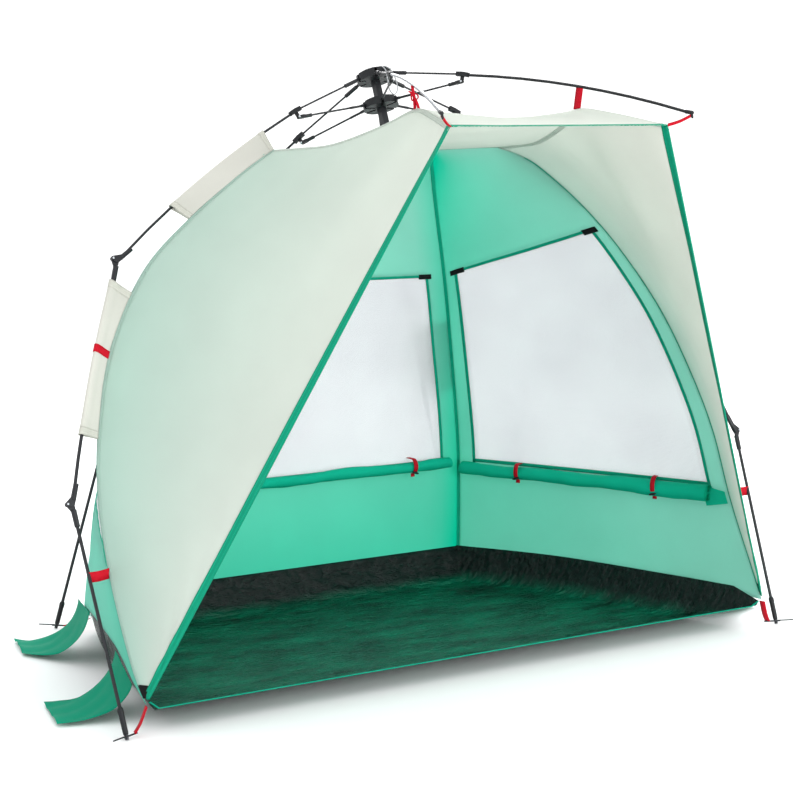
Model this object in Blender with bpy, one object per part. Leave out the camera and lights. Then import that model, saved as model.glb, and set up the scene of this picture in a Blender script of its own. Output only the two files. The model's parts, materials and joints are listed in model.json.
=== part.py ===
"""Pop up beach tent: a six-arm umbrella hub above a half-dome of fabric with an open front.

Metres, +Z up. The open front faces -Y and the tent is the same left and right of x = 0.
Dimensions are measured from the ground and from the line of the front feet. The part's origin
is on the ground under the middle of the floor, ORIGIN_BACK behind that line.
"""
import bpy
import bmesh
import numpy as np
from math import atan2, cos, pi, radians, sin, sqrt
from mathutils import Matrix, Vector

ORIGIN_BACK = 0.600

# ---- hub and the axis that all six arms turn around
HUB = Vector((0.0, 0.572, 1.700))
HUB_TILT = radians(22.0)
ARM_AZIMUTH = {"eave": 26.5, "front": 95.5, "back": 148.0}

# ---- arm profiles: distance out from the hub axis, then distance down along it
HINGE = (0.045, 0.0)
ELBOW = (0.285, 0.094)
ELBOW_PIN = (0.277, 0.114)
EAVE_TIP = (0.936, 0.448)
EAVE_BOW = 0.020
UPPER_BOW = 0.020
MIDDLE_BOW = 0.012
UPPER_KNUCKLE = {"front": (0.918, 0.507), "back": (0.900, 0.430)}
LOWER_KNUCKLE = {"front": (1.172, 1.161), "back": (1.134, 0.769)}
FOOT_OUT = {"front": 1.143, "back": 1.456}

# ---- poles and fittings
RIB_RADIUS = 0.0030
SOCKET_RADIUS = 0.0062
UPPER_RADIUS = 0.0038
EAVE_RADIUS = 0.0044
MIDDLE_RADIUS = 0.0050
LOWER_RADIUS = 0.0050
TONGUE = 0.0044
SLOT = 0.0078
PIN_RADIUS = 0.0018
PIN_HOLE = 0.0023
FIT = 0.0004
CLIP_REACH = 0.020
CLIP_HALF_HEIGHT = 0.0065
CLIP_HALF_WIDTH = 0.0058
SOCKET_LENGTH = 0.048
TONGUE_LENGTH = 0.022
KNUCKLE_OFFSET = 0.013
KNUCKLE_EAR = 0.0030
KNUCKLE_SOCKET = 0.046
KNUCKLE_CLEAR = 0.011
KNUCKLE_REACH = 0.020
EAVE_CAP_LENGTH = 0.022
FOOT_HEIGHT = 0.022
FOOT_BAR_LEVEL = 0.009
FOOT_BAR_LENGTH = 0.052

# ---- hub housing, lower hub and centre post
HOUSING_RADIUS = 0.054
HOUSING_TOP = -0.013
HOUSING_BOTTOM = 0.010
SLOT_START = 0.0315
LOWER_HUB_LEVEL = 0.085
LOWER_HUB_RADIUS = 0.053
LOWER_HUB_HALF = 0.011
POST_SIDE = 0.020
POST_END = 0.175

# ---- fabric
CLOTH = 0.0030
SEAM_GAP = 0.0050
EAVE_CORNER = Vector((0.364, -0.332, 1.565))
FLOOR_FRONT = Vector((1.079, 0.008, 0.083))
FLOOR_BACK = Vector((0.700, 1.120, 0.045))
SIDE_ARCH = [(1.045, 0.147, 0.092), (1.000, 0.340, 0.100), (0.876, 0.782, 0.098)]
ROOF_SEAM_INNER = Vector((0.186, 0.545, 1.485))
SHOULDER = Vector((0.398, 0.490, 1.492))
FRONT_SEAM = [SHOULDER, (0.480, 0.455, 1.458), (0.565, 0.447, 1.405), (0.700, 0.446, 1.305),
              (0.843, 0.441, 1.170), (0.971, 0.391, 0.977), (1.045, 0.325, 0.780),
              (1.085, 0.255, 0.590), (1.092, 0.175, 0.380), (1.090, 0.070, 0.180), FLOOR_FRONT]
BACK_SEAM = [ROOF_SEAM_INNER, (0.225, 0.600, 1.450), (0.310, 0.705, 1.335), (0.470, 0.880, 1.069),
             (0.578, 1.000, 0.855), (0.668, 1.080, 0.510), (0.695, 1.110, 0.300), FLOOR_BACK]
RIDGE = [SHOULDER, (0.376, 0.400, 1.498), (0.352, 0.245, 1.512), (0.310, 0.070, 1.562),
         (0.276, -0.045, 1.608), (0.307, -0.160, 1.598), EAVE_CORNER]
SIDE_MARGINS = (0.042, 0.065)
BACK_MARGINS = (0.072, 0.072)
WINDOW_TOP = 0.355
WINDOW_BOTTOM = 0.775
SLANT = (-0.015, 0.031)
SIDE_BLIND_LEVEL = 0.800
BACK_BLIND_LEVEL = 0.787
BLIND_RADIUS = 0.019
FLOOR_EDGE_INSET = 0.012
FLOOR_DEPTH_SHARE = 0.988
WALL_ROWS = [0.0, 0.12, 0.24, WINDOW_TOP, 0.46, 0.57, 0.68, WINDOW_BOTTOM, 0.86, 0.93, 1.0]
INNER_CELLS = 4
WINDOW_EDGE_GAP = 0.004
WING_ROWS = [0.004, 0.04, 0.09, 0.16, 0.28, 0.42, 0.58, 0.74, 0.88, 0.975]
FLOOR_ROWS = [0.0, 0.06, 0.13, 0.20, 0.27, 0.45, 0.65, 0.84, 0.91, 0.94, 0.97, 1.0]
FLOOR_COLUMNS = [-1.0, -0.965, -0.93, -0.89, -0.6, -0.3, 0.0, 0.3, 0.6, 0.89, 0.93, 0.965, 1.0]
FLAP_FRONT = [Vector((1.046, 0.150, 0.086)), Vector((1.003, 0.340, 0.093)),
              Vector((1.180, 0.425, 0.004)), Vector((1.240, 0.205, 0.004))]
FLAP_BACK = [Vector((0.822, 0.908, 0.072)), Vector((0.745, 1.110, 0.060)),
             Vector((0.945, 1.157, 0.004)), Vector((1.000, 0.967, 0.004))]

COLOURS = {
    "black_plastic": ((0.030, 0.032, 0.036, 1), 0.50, 0.0),
    "black_pole": ((0.040, 0.042, 0.047, 1), 0.35, 0.3),
    "grey_pole": ((0.130, 0.135, 0.145, 1), 0.30, 0.6),
    "white_fabric": ((0.720, 0.780, 0.720, 1), 0.85, 0.0),
    "green_fabric": ((0.060, 0.480, 0.360, 1), 0.80, 0.0),
    "dark_green": ((0.000, 0.300, 0.190, 1), 0.80, 0.0),
    "floor_green": ((0.000, 0.080, 0.050, 1), 0.35, 0.0),
    "mesh_grey": ((0.780, 0.800, 0.820, 1), 0.70, 0.0),
}


def clear_scene():
    for item in list(bpy.data.objects):
        bpy.data.objects.remove(item, do_unlink=True)


def material(name):
    found = bpy.data.materials.get(name)
    if found:
        return found
    made = bpy.data.materials.new(name)
    made.use_nodes = True
    colour, roughness, metallic = COLOURS[name]
    shader = made.node_tree.nodes["Principled BSDF"]
    shader.inputs["Base Color"].default_value = colour
    shader.inputs["Roughness"].default_value = roughness
    shader.inputs["Metallic"].default_value = metallic
    made.diffuse_color = colour
    return made


# ---- the arm's own frame: x out from the hub axis, y along the hinges, z up the hub axis
def arm_frame(azimuth):
    up = Vector((0.0, sin(HUB_TILT), cos(HUB_TILT)))
    front = Vector((0.0, -cos(HUB_TILT), sin(HUB_TILT)))
    out = front * cos(azimuth) + Vector((1, 0, 0)) * sin(azimuth)
    side = up.cross(out)
    return Matrix.Translation(HUB) @ Matrix((out, side, up)).transposed().to_4x4()


def arm_point(profile_point):
    return Vector((profile_point[0], 0.0, -profile_point[1]))


def foot_point(arm):
    """The profile point of an arm's foot, where its line meets the ground."""
    azimuth = radians(ARM_AZIMUTH[arm])
    out = FOOT_OUT[arm]
    down = (HUB.z + out * cos(azimuth) * sin(HUB_TILT)) / cos(HUB_TILT)
    return (out, down)


# ---- mesh helpers
def mesh_from(bm, name):
    bmesh.ops.recalc_face_normals(bm, faces=bm.faces)
    mesh = bpy.data.meshes.new(name)
    bm.to_mesh(mesh)
    bm.free()
    return mesh


def lathe(start, end, profile, name, sides=8):
    """A turned piece along start-end: profile lists (distance from start, radius)."""
    axis = (end - start).normalized()
    across = axis.cross(Vector((0, 1, 0)))
    if across.length < 0.01:
        across = axis.cross(Vector((1, 0, 0)))
    across.normalize()
    other = axis.cross(across)
    bm = bmesh.new()
    rings = []
    for distance, radius in profile:
        ring = []
        for k in range(sides):
            turn = 2 * pi * k / sides
            spoke = (across * cos(turn) + other * sin(turn)) * radius
            ring.append(bm.verts.new(start + axis * distance + spoke))
        rings.append(ring)
    for low, high in zip(rings, rings[1:]):
        for k in range(sides):
            bm.faces.new((low[k], low[(k + 1) % sides], high[(k + 1) % sides], high[k]))
    bm.faces.new(rings[0])
    bm.faces.new(rings[-1])
    return mesh_from(bm, name)


def plate(outline, low_y, high_y, name):
    """A flat piece in the arm's plane, from a list of (x, z) corners."""
    bm = bmesh.new()
    base = [bm.verts.new((x, low_y, z)) for x, z in outline]
    top = [bm.verts.new((x, high_y, z)) for x, z in outline]
    count = len(outline)
    bm.faces.new(base)
    bm.faces.new(top)
    for k in range(count):
        bm.faces.new((base[k], base[(k + 1) % count], top[(k + 1) % count], top[k]))
    return mesh_from(bm, name)


def capsule_outline(a, b, radius_a, radius_b, steps=4):
    """Outline round two points in the arm's plane, a half circle at each end."""
    heading = atan2(b[1] - a[1], b[0] - a[0])
    points = []
    for centre, radius, first in ((a, radius_a, heading + pi / 2), (b, radius_b, heading - pi / 2)):
        for k in range(steps + 1):
            turn = first + pi * k / steps
            points.append((centre[0] + radius * cos(turn), centre[1] + radius * sin(turn)))
    return points


def hull_outline(circles, steps=12):
    """Convex outline round a few circles in the arm's plane, each a centre and a radius."""
    points = []
    for centre, radius in circles:
        for k in range(steps):
            turn = 2 * pi * k / steps
            points.append((centre[0] + radius * cos(turn), centre[1] + radius * sin(turn)))
    points.sort()
    outline = []
    for run in (points, points[::-1]):
        half = []
        for x, z in run:
            while len(half) > 1:
                (x0, z0), (x1, z1) = half[-2:]
                if (x1 - x0) * (z - z0) - (z1 - z0) * (x - x0) > 1e-12:
                    break
                half.pop()
            half.append((x, z))
        outline += half[:-1]
    return outline


def cross_pin(centre, radius, half, name, sides=8):
    start = Vector((centre[0], -half, centre[1]))
    end = Vector((centre[0], half, centre[1]))
    return lathe(start, end, [(0, radius), (2 * half, radius)], name, sides)


def combine(base, tools, operation):
    """Boolean of one mesh with a list of meshes."""
    holder = bpy.data.objects.new("holder", base)
    bpy.context.scene.collection.objects.link(holder)
    cutters = []
    for tool in tools:
        cutter = bpy.data.objects.new("cutter", tool)
        bpy.context.scene.collection.objects.link(cutter)
        step = holder.modifiers.new("step", "BOOLEAN")
        step.operation = operation
        step.solver = "EXACT"
        step.object = cutter
        cutters.append(cutter)
    bpy.context.view_layer.update()
    evaluated = holder.evaluated_get(bpy.context.evaluated_depsgraph_get())
    result = bpy.data.meshes.new_from_object(evaluated)
    for item in cutters + [holder]:
        bpy.data.objects.remove(item, do_unlink=True)
    return result


def add_node(name, mesh, slot, frame=None, pivot=None):
    """A node whose origin is the pivot, given in the frame that the mesh was made in."""
    frame = frame or Matrix.Identity(4)
    pivot = pivot or Vector((0, 0, 0))
    own = mesh.copy()
    own.name = name
    own.transform(Matrix.Translation(-pivot))
    own.materials.clear()
    own.materials.append(material(slot))
    own.shade_smooth()
    own.set_sharp_from_angle(angle=radians(35))
    node = bpy.data.objects.new(name, own)
    node.matrix_world = Matrix.Translation((0, -ORIGIN_BACK, 0)) @ frame @ Matrix.Translation(pivot)
    bpy.context.scene.collection.objects.link(node)
    return node


# ---- hub
def disc(radius, top, bottom, name, sides=30):
    low = Vector((0, 0, -bottom))
    high = Vector((0, 0, -top))
    return lathe(low, high, [(0, radius), (bottom - top, radius)], name, sides)


def slot_cutters(start, reach, top, bottom):
    """One slot for each arm, turned to the arm's azimuth about the hub axis."""
    cutters = []
    for arm in ARM_AZIMUTH:
        for side in (-1, 1):
            outline = [(start, -bottom), (reach, -bottom), (reach, -top), (start, -top)]
            cutter = plate(outline, -SLOT / 2, SLOT / 2, "slot")
            cutter.transform(relative_turn(radians(ARM_AZIMUTH[arm]) * side))
            cutters.append(cutter)
    return cutters


def relative_turn(azimuth):
    """From an arm's frame to the hub's frame, whose own azimuth is 0."""
    return arm_frame(0.0).inverted() @ arm_frame(azimuth)


def ring_band(inner, outer, top, bottom, name, sides=30):
    bm = bmesh.new()
    loops = []
    for radius, level in ((inner, bottom), (outer, bottom), (outer, top), (inner, top)):
        ring = []
        for k in range(sides):
            turn = 2 * pi * k / sides
            ring.append(bm.verts.new((radius * cos(turn), radius * sin(turn), -level)))
        loops.append(ring)
    for index in range(4):
        low, high = loops[index], loops[(index + 1) % 4]
        for k in range(sides):
            bm.faces.new((low[k], low[(k + 1) % sides], high[(k + 1) % sides], high[k]))
    return mesh_from(bm, name)


def hub_pieces():
    frame = arm_frame(0.0)
    housing = disc(HOUSING_RADIUS, HOUSING_TOP, HOUSING_BOTTOM, "housing")
    groove = ring_band(HINGE[0] - 0.0020, HINGE[0] + 0.0020, HOUSING_TOP - 0.001, 0.0022, "groove")
    cutters = slot_cutters(SLOT_START, HOUSING_RADIUS + 0.01, HOUSING_TOP - 0.001, HOUSING_BOTTOM + 0.001)
    housing = combine(housing, cutters + [groove], "DIFFERENCE")
    add_node("hub_housing", housing, "black_plastic", frame)
    wire = ring_band(HINGE[0] - 0.0012, HINGE[0] + 0.0012, -0.0012, 0.0012, "wire")
    add_node("hub_hinge_ring", wire, "grey_pole", frame)
    cap_base = -HOUSING_TOP + FIT
    rim = HOUSING_RADIUS - 0.006
    cap_profile = [(0.0, rim), (0.003, rim - 0.001), (0.007, 0.038), (0.010, 0.020)]
    cap = lathe(Vector((0, 0, cap_base)), Vector((0, 0, cap_base + 0.010)), cap_profile, "cap", 30)
    add_node("hub_cap", cap, "black_plastic", frame)


def lower_hub_pieces():
    frame = arm_frame(0.0)
    top = LOWER_HUB_LEVEL - LOWER_HUB_HALF
    bottom = LOWER_HUB_LEVEL + LOWER_HUB_HALF
    body = disc(LOWER_HUB_RADIUS, top, bottom, "lower_hub")
    cutters = slot_cutters(0.0185, LOWER_HUB_RADIUS + 0.01, top - 0.001, bottom + 0.001)
    half = POST_SIDE / 2 + FIT
    low, high = -bottom - 0.001, -top + 0.001
    bore = plate([(-half, low), (half, low), (half, high), (-half, high)], -half, half, "bore")
    body = combine(body, cutters + [bore], "DIFFERENCE")
    centre = Vector((0, 0, -LOWER_HUB_LEVEL))
    add_node("lower_hub", body, "black_plastic", frame, centre)
    side = POST_SIDE / 2
    start = -HOUSING_BOTTOM - FIT
    outline = [(-side, -POST_END), (side, -POST_END), (side, start), (-side, start)]
    post = plate(outline, -side, side, "post")
    add_node("centre_post", post, "black_pole", frame, centre)


# ---- ribs, clips and braces, the same on all six arms
def along(a, b, distance):
    """The profile point at a distance from a towards b."""
    length = sqrt((b[0] - a[0]) ** 2 + (b[1] - a[1]) ** 2)
    share = distance / length
    return (a[0] + (b[0] - a[0]) * share, a[1] + (b[1] - a[1]) * share)


def span(a, b):
    return sqrt((b[0] - a[0]) ** 2 + (b[1] - a[1]) ** 2)


def flip(point):
    return (point[0], -point[1])


def rib_mesh():
    length = span(HINGE, ELBOW)
    base = along(HINGE, ELBOW, TONGUE_LENGTH - 0.006)
    outline = capsule_outline(flip(HINGE), flip(along(HINGE, ELBOW, TONGUE_LENGTH)), 0.0050, 0.0040)
    eye = plate(outline, -TONGUE / 2, TONGUE / 2, "eye")
    stop = length - CLIP_REACH - FIT - (TONGUE_LENGTH - 0.006)
    profile = [(0.0, 0.0036), (0.004, SOCKET_RADIUS), (SOCKET_LENGTH, SOCKET_RADIUS),
               (SOCKET_LENGTH + 0.003, RIB_RADIUS), (stop - 0.020, RIB_RADIUS), (stop, RIB_RADIUS)]
    rod = lathe(arm_point(base), arm_point(ELBOW), profile, "rod")
    solid = combine(eye, [rod], "UNION")
    hole = cross_pin(flip(HINGE), PIN_HOLE, 0.01, "hole")
    return combine(solid, [hole], "DIFFERENCE")


def clip_mesh():
    """The elbow block between the rib and the pole, with a lug for the brace."""
    outward = EAVE_TIP
    inner = along(ELBOW, HINGE, CLIP_REACH)
    outer = along(ELBOW, outward, CLIP_REACH)
    heading_in = atan2(ELBOW[1] - HINGE[1], ELBOW[0] - HINGE[0])
    heading_out = atan2(outward[1] - ELBOW[1], outward[0] - ELBOW[0])
    half = CLIP_HALF_HEIGHT

    def offset(point, heading, amount):
        return (point[0] + sin(heading) * amount, -(point[1] - cos(heading) * amount))

    outline = [offset(inner, heading_in, half), offset(ELBOW, (heading_in + heading_out) / 2, half),
               offset(outer, heading_out, half), offset(outer, heading_out, -half),
               offset(ELBOW, (heading_in + heading_out) / 2, -half), offset(inner, heading_in, -half)]
    block = plate(outline, -CLIP_HALF_WIDTH, CLIP_HALF_WIDTH, "block")
    lug_outline = capsule_outline(flip(ELBOW_PIN), flip(ELBOW), 0.0052, 0.0060)
    lug = plate(lug_outline, -TONGUE / 2, TONGUE / 2, "lug")
    solid = combine(block, [lug], "UNION")
    hole = cross_pin(flip(ELBOW_PIN), PIN_HOLE, 0.01, "hole")
    return combine(solid, [hole], "DIFFERENCE")


def brace_mesh():
    """Fork with its own pin at the elbow, rod, and a flat tongue at the lower hub."""
    inner = (HINGE[0], LOWER_HUB_LEVEL)
    length = span(ELBOW_PIN, inner)
    low = TONGUE / 2 + FIT
    high = low + KNUCKLE_EAR
    fork_end = along(ELBOW_PIN, inner, 0.018)
    ears = []
    ear_outline = capsule_outline(flip(ELBOW_PIN), flip(fork_end), 0.0048, 0.0048)
    for lower, upper in ((-high, -low), (low, high)):
        ears.append(plate(ear_outline, lower, upper, "ear"))
    pin = cross_pin(flip(ELBOW_PIN), PIN_RADIUS, high + 0.0008, "pin")
    rod_start = along(ELBOW_PIN, inner, 0.0125)
    reach = length - 0.0125
    profile = [(0.0, 0.0058), (0.030, 0.0058), (0.033, RIB_RADIUS), (reach - 0.062, RIB_RADIUS),
               (reach - 0.059, 0.0040), (reach - 0.020, 0.0036), (reach - 0.014, 0.0030)]
    rod = lathe(arm_point(rod_start), arm_point(inner), profile, "rod")
    tongue_start = along(inner, ELBOW_PIN, TONGUE_LENGTH)
    tongue_outline = capsule_outline(flip(tongue_start), flip(inner), 0.0040, 0.0042)
    tongue = plate(tongue_outline, -TONGUE / 2, TONGUE / 2, "tongue")
    return combine(rod, ears + [pin, tongue], "UNION")


# ---- knuckles between leg poles: a fork above, a tongue below, hinged on the outer side
def outward_normal(a, b):
    """Unit vector at right angles to a profile line a-b that runs outwards and down."""
    length = span(a, b)
    return ((b[1] - a[1]) / length, -(b[0] - a[0]) / length)


def knuckle_pivot(above, joint, below):
    """The hinge point, off the poles' meeting point on the outer side."""
    first = outward_normal(above, joint)
    second = outward_normal(joint, below)
    total = (first[0] + second[0], first[1] + second[1])
    length = sqrt(total[0] ** 2 + total[1] ** 2)
    return (joint[0] + total[0] / length * KNUCKLE_OFFSET, joint[1] + total[1] / length * KNUCKLE_OFFSET)


def fork_parts(joint, towards, pivot, radius):
    """Ears with the pin, and the socket on the pole that runs from joint to towards."""
    low = TONGUE / 2 + FIT
    high = low + KNUCKLE_EAR
    back = along(joint, towards, KNUCKLE_REACH)
    ear_outline = hull_outline([(flip(pivot), 0.0066), (flip(back), 0.0062), (flip(joint), 0.0060)])
    parts = []
    for lower, upper in ((-high, -low), (low, high)):
        parts.append(plate(ear_outline, lower, upper, "ear"))
    parts.append(cross_pin(flip(pivot), PIN_RADIUS, high + 0.0012, "pin"))
    start = along(joint, towards, KNUCKLE_CLEAR)
    profile = [(0.0, radius + 0.0016), (0.002, radius + 0.0030), (KNUCKLE_SOCKET, radius + 0.0026),
               (KNUCKLE_SOCKET + 0.002, radius - 0.0006)]
    parts.append(lathe(arm_point(start), arm_point(towards), profile, "socket", 10))
    return parts


def tongue_parts(joint, towards, pivot, radius):
    back = along(joint, towards, KNUCKLE_REACH)
    outline = hull_outline([(flip(pivot), 0.0058), (flip(back), 0.0056), (flip(joint), 0.0054)])
    parts = [plate(outline, -TONGUE / 2, TONGUE / 2, "tongue")]
    start = along(joint, towards, KNUCKLE_CLEAR + 0.0030)
    profile = [(0.0, radius + 0.0016), (0.002, radius + 0.0030), (KNUCKLE_SOCKET, radius + 0.0026),
               (KNUCKLE_SOCKET + 0.002, radius - 0.0006)]
    parts.append(lathe(arm_point(start), arm_point(towards), profile, "socket", 10))
    return parts


def pole(a, b, trim_a, trim_b, radius, bow, name, steps=6, sides=8):
    """A pole between two profile points, bowed outwards along a parabola."""
    start = along(a, b, trim_a)
    end = along(b, a, trim_b)
    normal = outward_normal(start, end)
    bm = bmesh.new()
    rings = []
    for index in range(steps + 1):
        share = index / steps
        lift = bow * 4 * share * (1 - share)
        out = start[0] + (end[0] - start[0]) * share + normal[0] * lift
        down = start[1] + (end[1] - start[1]) * share + normal[1] * lift
        ring = []
        for k in range(sides):
            turn = 2 * pi * k / sides
            across = radius * cos(turn)
            level = -(down + normal[1] * across)
            ring.append(bm.verts.new((out + normal[0] * across, radius * sin(turn), level)))
        rings.append(ring)
    for low, high in zip(rings, rings[1:]):
        for k in range(sides):
            bm.faces.new((low[k], low[(k + 1) % sides], high[(k + 1) % sides], high[k]))
    bm.faces.new(rings[0])
    bm.faces.new(rings[-1])
    return mesh_from(bm, name)


def upper_leg_mesh(arm):
    joint = UPPER_KNUCKLE[arm]
    pivot = knuckle_pivot(ELBOW, joint, LOWER_KNUCKLE[arm])
    start, end = CLIP_REACH + FIT, KNUCKLE_CLEAR + 0.004
    shaft = pole(ELBOW, joint, start, end, UPPER_RADIUS, UPPER_BOW, "upper")
    return combine(shaft, fork_parts(joint, ELBOW, pivot, UPPER_RADIUS), "UNION")


def middle_leg_mesh(arm):
    top = UPPER_KNUCKLE[arm]
    low = LOWER_KNUCKLE[arm]
    top_pivot = knuckle_pivot(ELBOW, top, low)
    low_pivot = knuckle_pivot(top, low, foot_point(arm))
    start, end = KNUCKLE_CLEAR + 0.006, KNUCKLE_CLEAR + 0.004
    shaft = pole(top, low, start, end, MIDDLE_RADIUS, MIDDLE_BOW, "middle")
    tongue = tongue_parts(top, low, top_pivot, MIDDLE_RADIUS)
    fork = fork_parts(low, top, low_pivot, MIDDLE_RADIUS)
    solid = combine(shaft, tongue + fork, "UNION")
    hole = cross_pin(flip(top_pivot), PIN_HOLE, 0.01, "hole")
    return combine(solid, [hole], "DIFFERENCE")


def lower_leg_mesh(arm):
    top = LOWER_KNUCKLE[arm]
    foot = foot_point(arm)
    pivot = knuckle_pivot(UPPER_KNUCKLE[arm], top, foot)
    start, end = KNUCKLE_CLEAR + 0.006, FOOT_HEIGHT + FIT
    shaft = pole(top, foot, start, end, LOWER_RADIUS, 0.0, "lower", 2)
    solid = combine(shaft, tongue_parts(top, foot, pivot, LOWER_RADIUS), "UNION")
    hole = cross_pin(flip(pivot), PIN_HOLE, 0.01, "hole")
    return combine(solid, [hole], "DIFFERENCE")


def eave_mesh():
    return pole(ELBOW, EAVE_TIP, CLIP_REACH + FIT, EAVE_CAP_LENGTH, EAVE_RADIUS, EAVE_BOW, "eave", 8)


def eave_cap_mesh():
    """The end cap, a sleeve end with a short hook turned down at its tip."""
    start = along(EAVE_TIP, ELBOW, EAVE_CAP_LENGTH - FIT)
    wall = EAVE_RADIUS + 0.0012
    profile = [(0.0, wall), (0.020, wall), (0.0245, EAVE_RADIUS - 0.001)]
    body = lathe(arm_point(start), arm_point(EAVE_TIP), profile, "cap")
    nose = along(start, EAVE_TIP, 0.019)
    tip = (nose[0] - 0.002, nose[1] + 0.016)
    hook_profile = [(0.0, 0.0036), (0.014, 0.0032), (0.016, 0.0020)]
    hook = lathe(arm_point(nose), arm_point(tip), hook_profile, "hook", 10)
    return combine(body, [hook], "UNION")


def foot_pin_mesh(arm, frame):
    """Stub under the leg with a cross bar for the corner strap, flat on the ground."""
    foot = foot_point(arm)
    above = along(foot, LOWER_KNUCKLE[arm], FOOT_HEIGHT)
    start = frame @ arm_point(above)
    end = frame @ arm_point(foot)
    end.z = 0.0
    stub = lathe(start, end, [(0.0, 0.0056), (0.014, 0.0056), ((end - start).length, 0.0050)], "stub", 10)
    level = Vector((0, 0, FOOT_BAR_LEVEL))
    inward = Vector((-end.x, 0.5 - end.y, 0)).normalized()
    bar_start = end + level - inward * 0.012
    bar_end = bar_start + inward * FOOT_BAR_LENGTH
    bar = lathe(bar_start, bar_end, [(0, 0.0026), (FOOT_BAR_LENGTH, 0.0026)], "bar")
    solid = combine(stub, [bar], "UNION")
    ground = plate([(-3, -0.02), (3, -0.02), (3, 0.0), (-3, 0.0)], -3, 3, "ground")
    solid = combine(solid, [ground], "DIFFERENCE")
    solid.transform(frame.inverted())
    return solid


def arm_pieces():
    rib, clip, brace = rib_mesh(), clip_mesh(), brace_mesh()
    eave, eave_cap = eave_mesh(), eave_cap_mesh()
    hinge = arm_point(HINGE)
    for arm in ARM_AZIMUTH:
        legs = arm != "eave"
        if legs:
            upper, middle, lower = upper_leg_mesh(arm), middle_leg_mesh(arm), lower_leg_mesh(arm)
            top_pivot = arm_point(knuckle_pivot(ELBOW, UPPER_KNUCKLE[arm], LOWER_KNUCKLE[arm]))
            low_pivot = arm_point(knuckle_pivot(UPPER_KNUCKLE[arm], LOWER_KNUCKLE[arm], foot_point(arm)))
        for side, word in ((-1, "left"), (1, "right")):
            frame = arm_frame(radians(ARM_AZIMUTH[arm]) * side)
            tag = arm + "_" + word
            add_node("rib_" + tag, rib, "black_pole", frame, hinge)
            add_node("elbow_clip_" + tag, clip, "black_plastic", frame, hinge)
            add_node("brace_" + tag, brace, "black_pole", frame, arm_point(ELBOW_PIN))
            if legs:
                add_node("upper_pole_" + tag, upper, "black_pole", frame, hinge)
                add_node("middle_pole_" + tag, middle, "black_pole", frame, top_pivot)
                add_node("lower_pole_" + tag, lower, "black_pole", frame, low_pivot)
                add_node("foot_pin_" + tag, foot_pin_mesh(arm, frame), "grey_pole", frame, low_pivot)
            else:
                add_node("eave_pole_" + word, eave, "grey_pole", frame, hinge)
                add_node("eave_cap_" + word, eave_cap, "black_plastic", frame, hinge)


# ---- fabric: thin closed sheets between seam curves
class Curve:
    """A smooth curve through points, read by its share of length."""

    def __init__(self, points):
        self.points = [Vector(p) for p in points]
        steps = 12
        self.dense = []
        last = len(self.points) - 1
        for index in range(last):
            before = self.points[max(index - 1, 0)]
            a, b = self.points[index], self.points[index + 1]
            after = self.points[min(index + 2, last)]
            for k in range(steps):
                t = k / steps
                square = 2 * before - 5 * a + 4 * b - after
                cube = 3 * a - before - 3 * b + after
                self.dense.append(0.5 * (2 * a + (b - before) * t + square * t ** 2 + cube * t ** 3))
        self.dense.append(self.points[-1])
        self.reach = [0.0]
        for a, b in zip(self.dense, self.dense[1:]):
            self.reach.append(self.reach[-1] + (b - a).length)
        self.length = self.reach[-1]

    def at(self, share):
        target = min(max(share, 0.0), 1.0) * self.length
        index = int(np.searchsorted(self.reach, target, side="right")) - 1
        index = min(index, len(self.dense) - 2)
        part = self.reach[index + 1] - self.reach[index]
        return self.dense[index].lerp(self.dense[index + 1], (target - self.reach[index]) / part)


def sheet_solid(grid, name, keep=None, upright=False):
    """Closed thin solid from a grid of points; keep says which cells have cloth."""
    half = CLOTH / 2
    rows, columns = len(grid), len(grid[0])
    keep = keep or (lambda row, column: True)
    normals = []
    for r in range(rows):
        line = []
        for c in range(columns):
            down = grid[min(r + 1, rows - 1)][c] - grid[max(r - 1, 0)][c]
            along_row = grid[r][min(c + 1, columns - 1)] - grid[r][max(c - 1, 0)]
            across = Vector((0, 0, 1)) if upright else down.cross(along_row).normalized()
            line.append(across * half)
        normals.append(line)
    bm = bmesh.new()
    cells = [(r, c) for r in range(rows - 1) for c in range(columns - 1) if keep(r, c)]
    used = sorted({(r + i, c + j) for r, c in cells for i in (0, 1) for j in (0, 1)})
    faces = {}
    for sign in (1, -1):
        faces[sign] = {rc: bm.verts.new(grid[rc[0]][rc[1]] + normals[rc[0]][rc[1]] * sign) for rc in used}
    edges = {}
    for r, c in cells:
        corners = [(r, c), (r, c + 1), (r + 1, c + 1), (r + 1, c)]
        bm.faces.new([faces[1][k] for k in corners])
        bm.faces.new([faces[-1][k] for k in reversed(corners)])
        for a, b in zip(corners, corners[1:] + corners[:1]):
            edges[(a, b)] = True
    for a, b in list(edges):
        if (b, a) not in edges:
            bm.faces.new((faces[1][b], faces[1][a], faces[-1][a], faces[-1][b]))
    bmesh.ops.triangulate(bm, faces=bm.faces)
    return mesh_from(bm, name)


def mirror(point):
    return Vector((-point.x, point.y, point.z))


def mirrored_grid(grid, side):
    return grid if side > 0 else [[mirror(p) for p in row] for row in grid]


BACK_CURVE = Curve(BACK_SEAM)
FRONT_CURVE = Curve([ROOF_SEAM_INNER] + FRONT_SEAM)
WING_CURVE = Curve(FRONT_SEAM)
BINDING = Curve([EAVE_CORNER, EAVE_CORNER.lerp(FLOOR_FRONT, 0.5), FLOOR_FRONT])
RIDGE_CURVE = Curve(RIDGE)
SIDE_HEM = Curve([FLOOR_FRONT] + SIDE_ARCH + [FLOOR_BACK])


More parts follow.
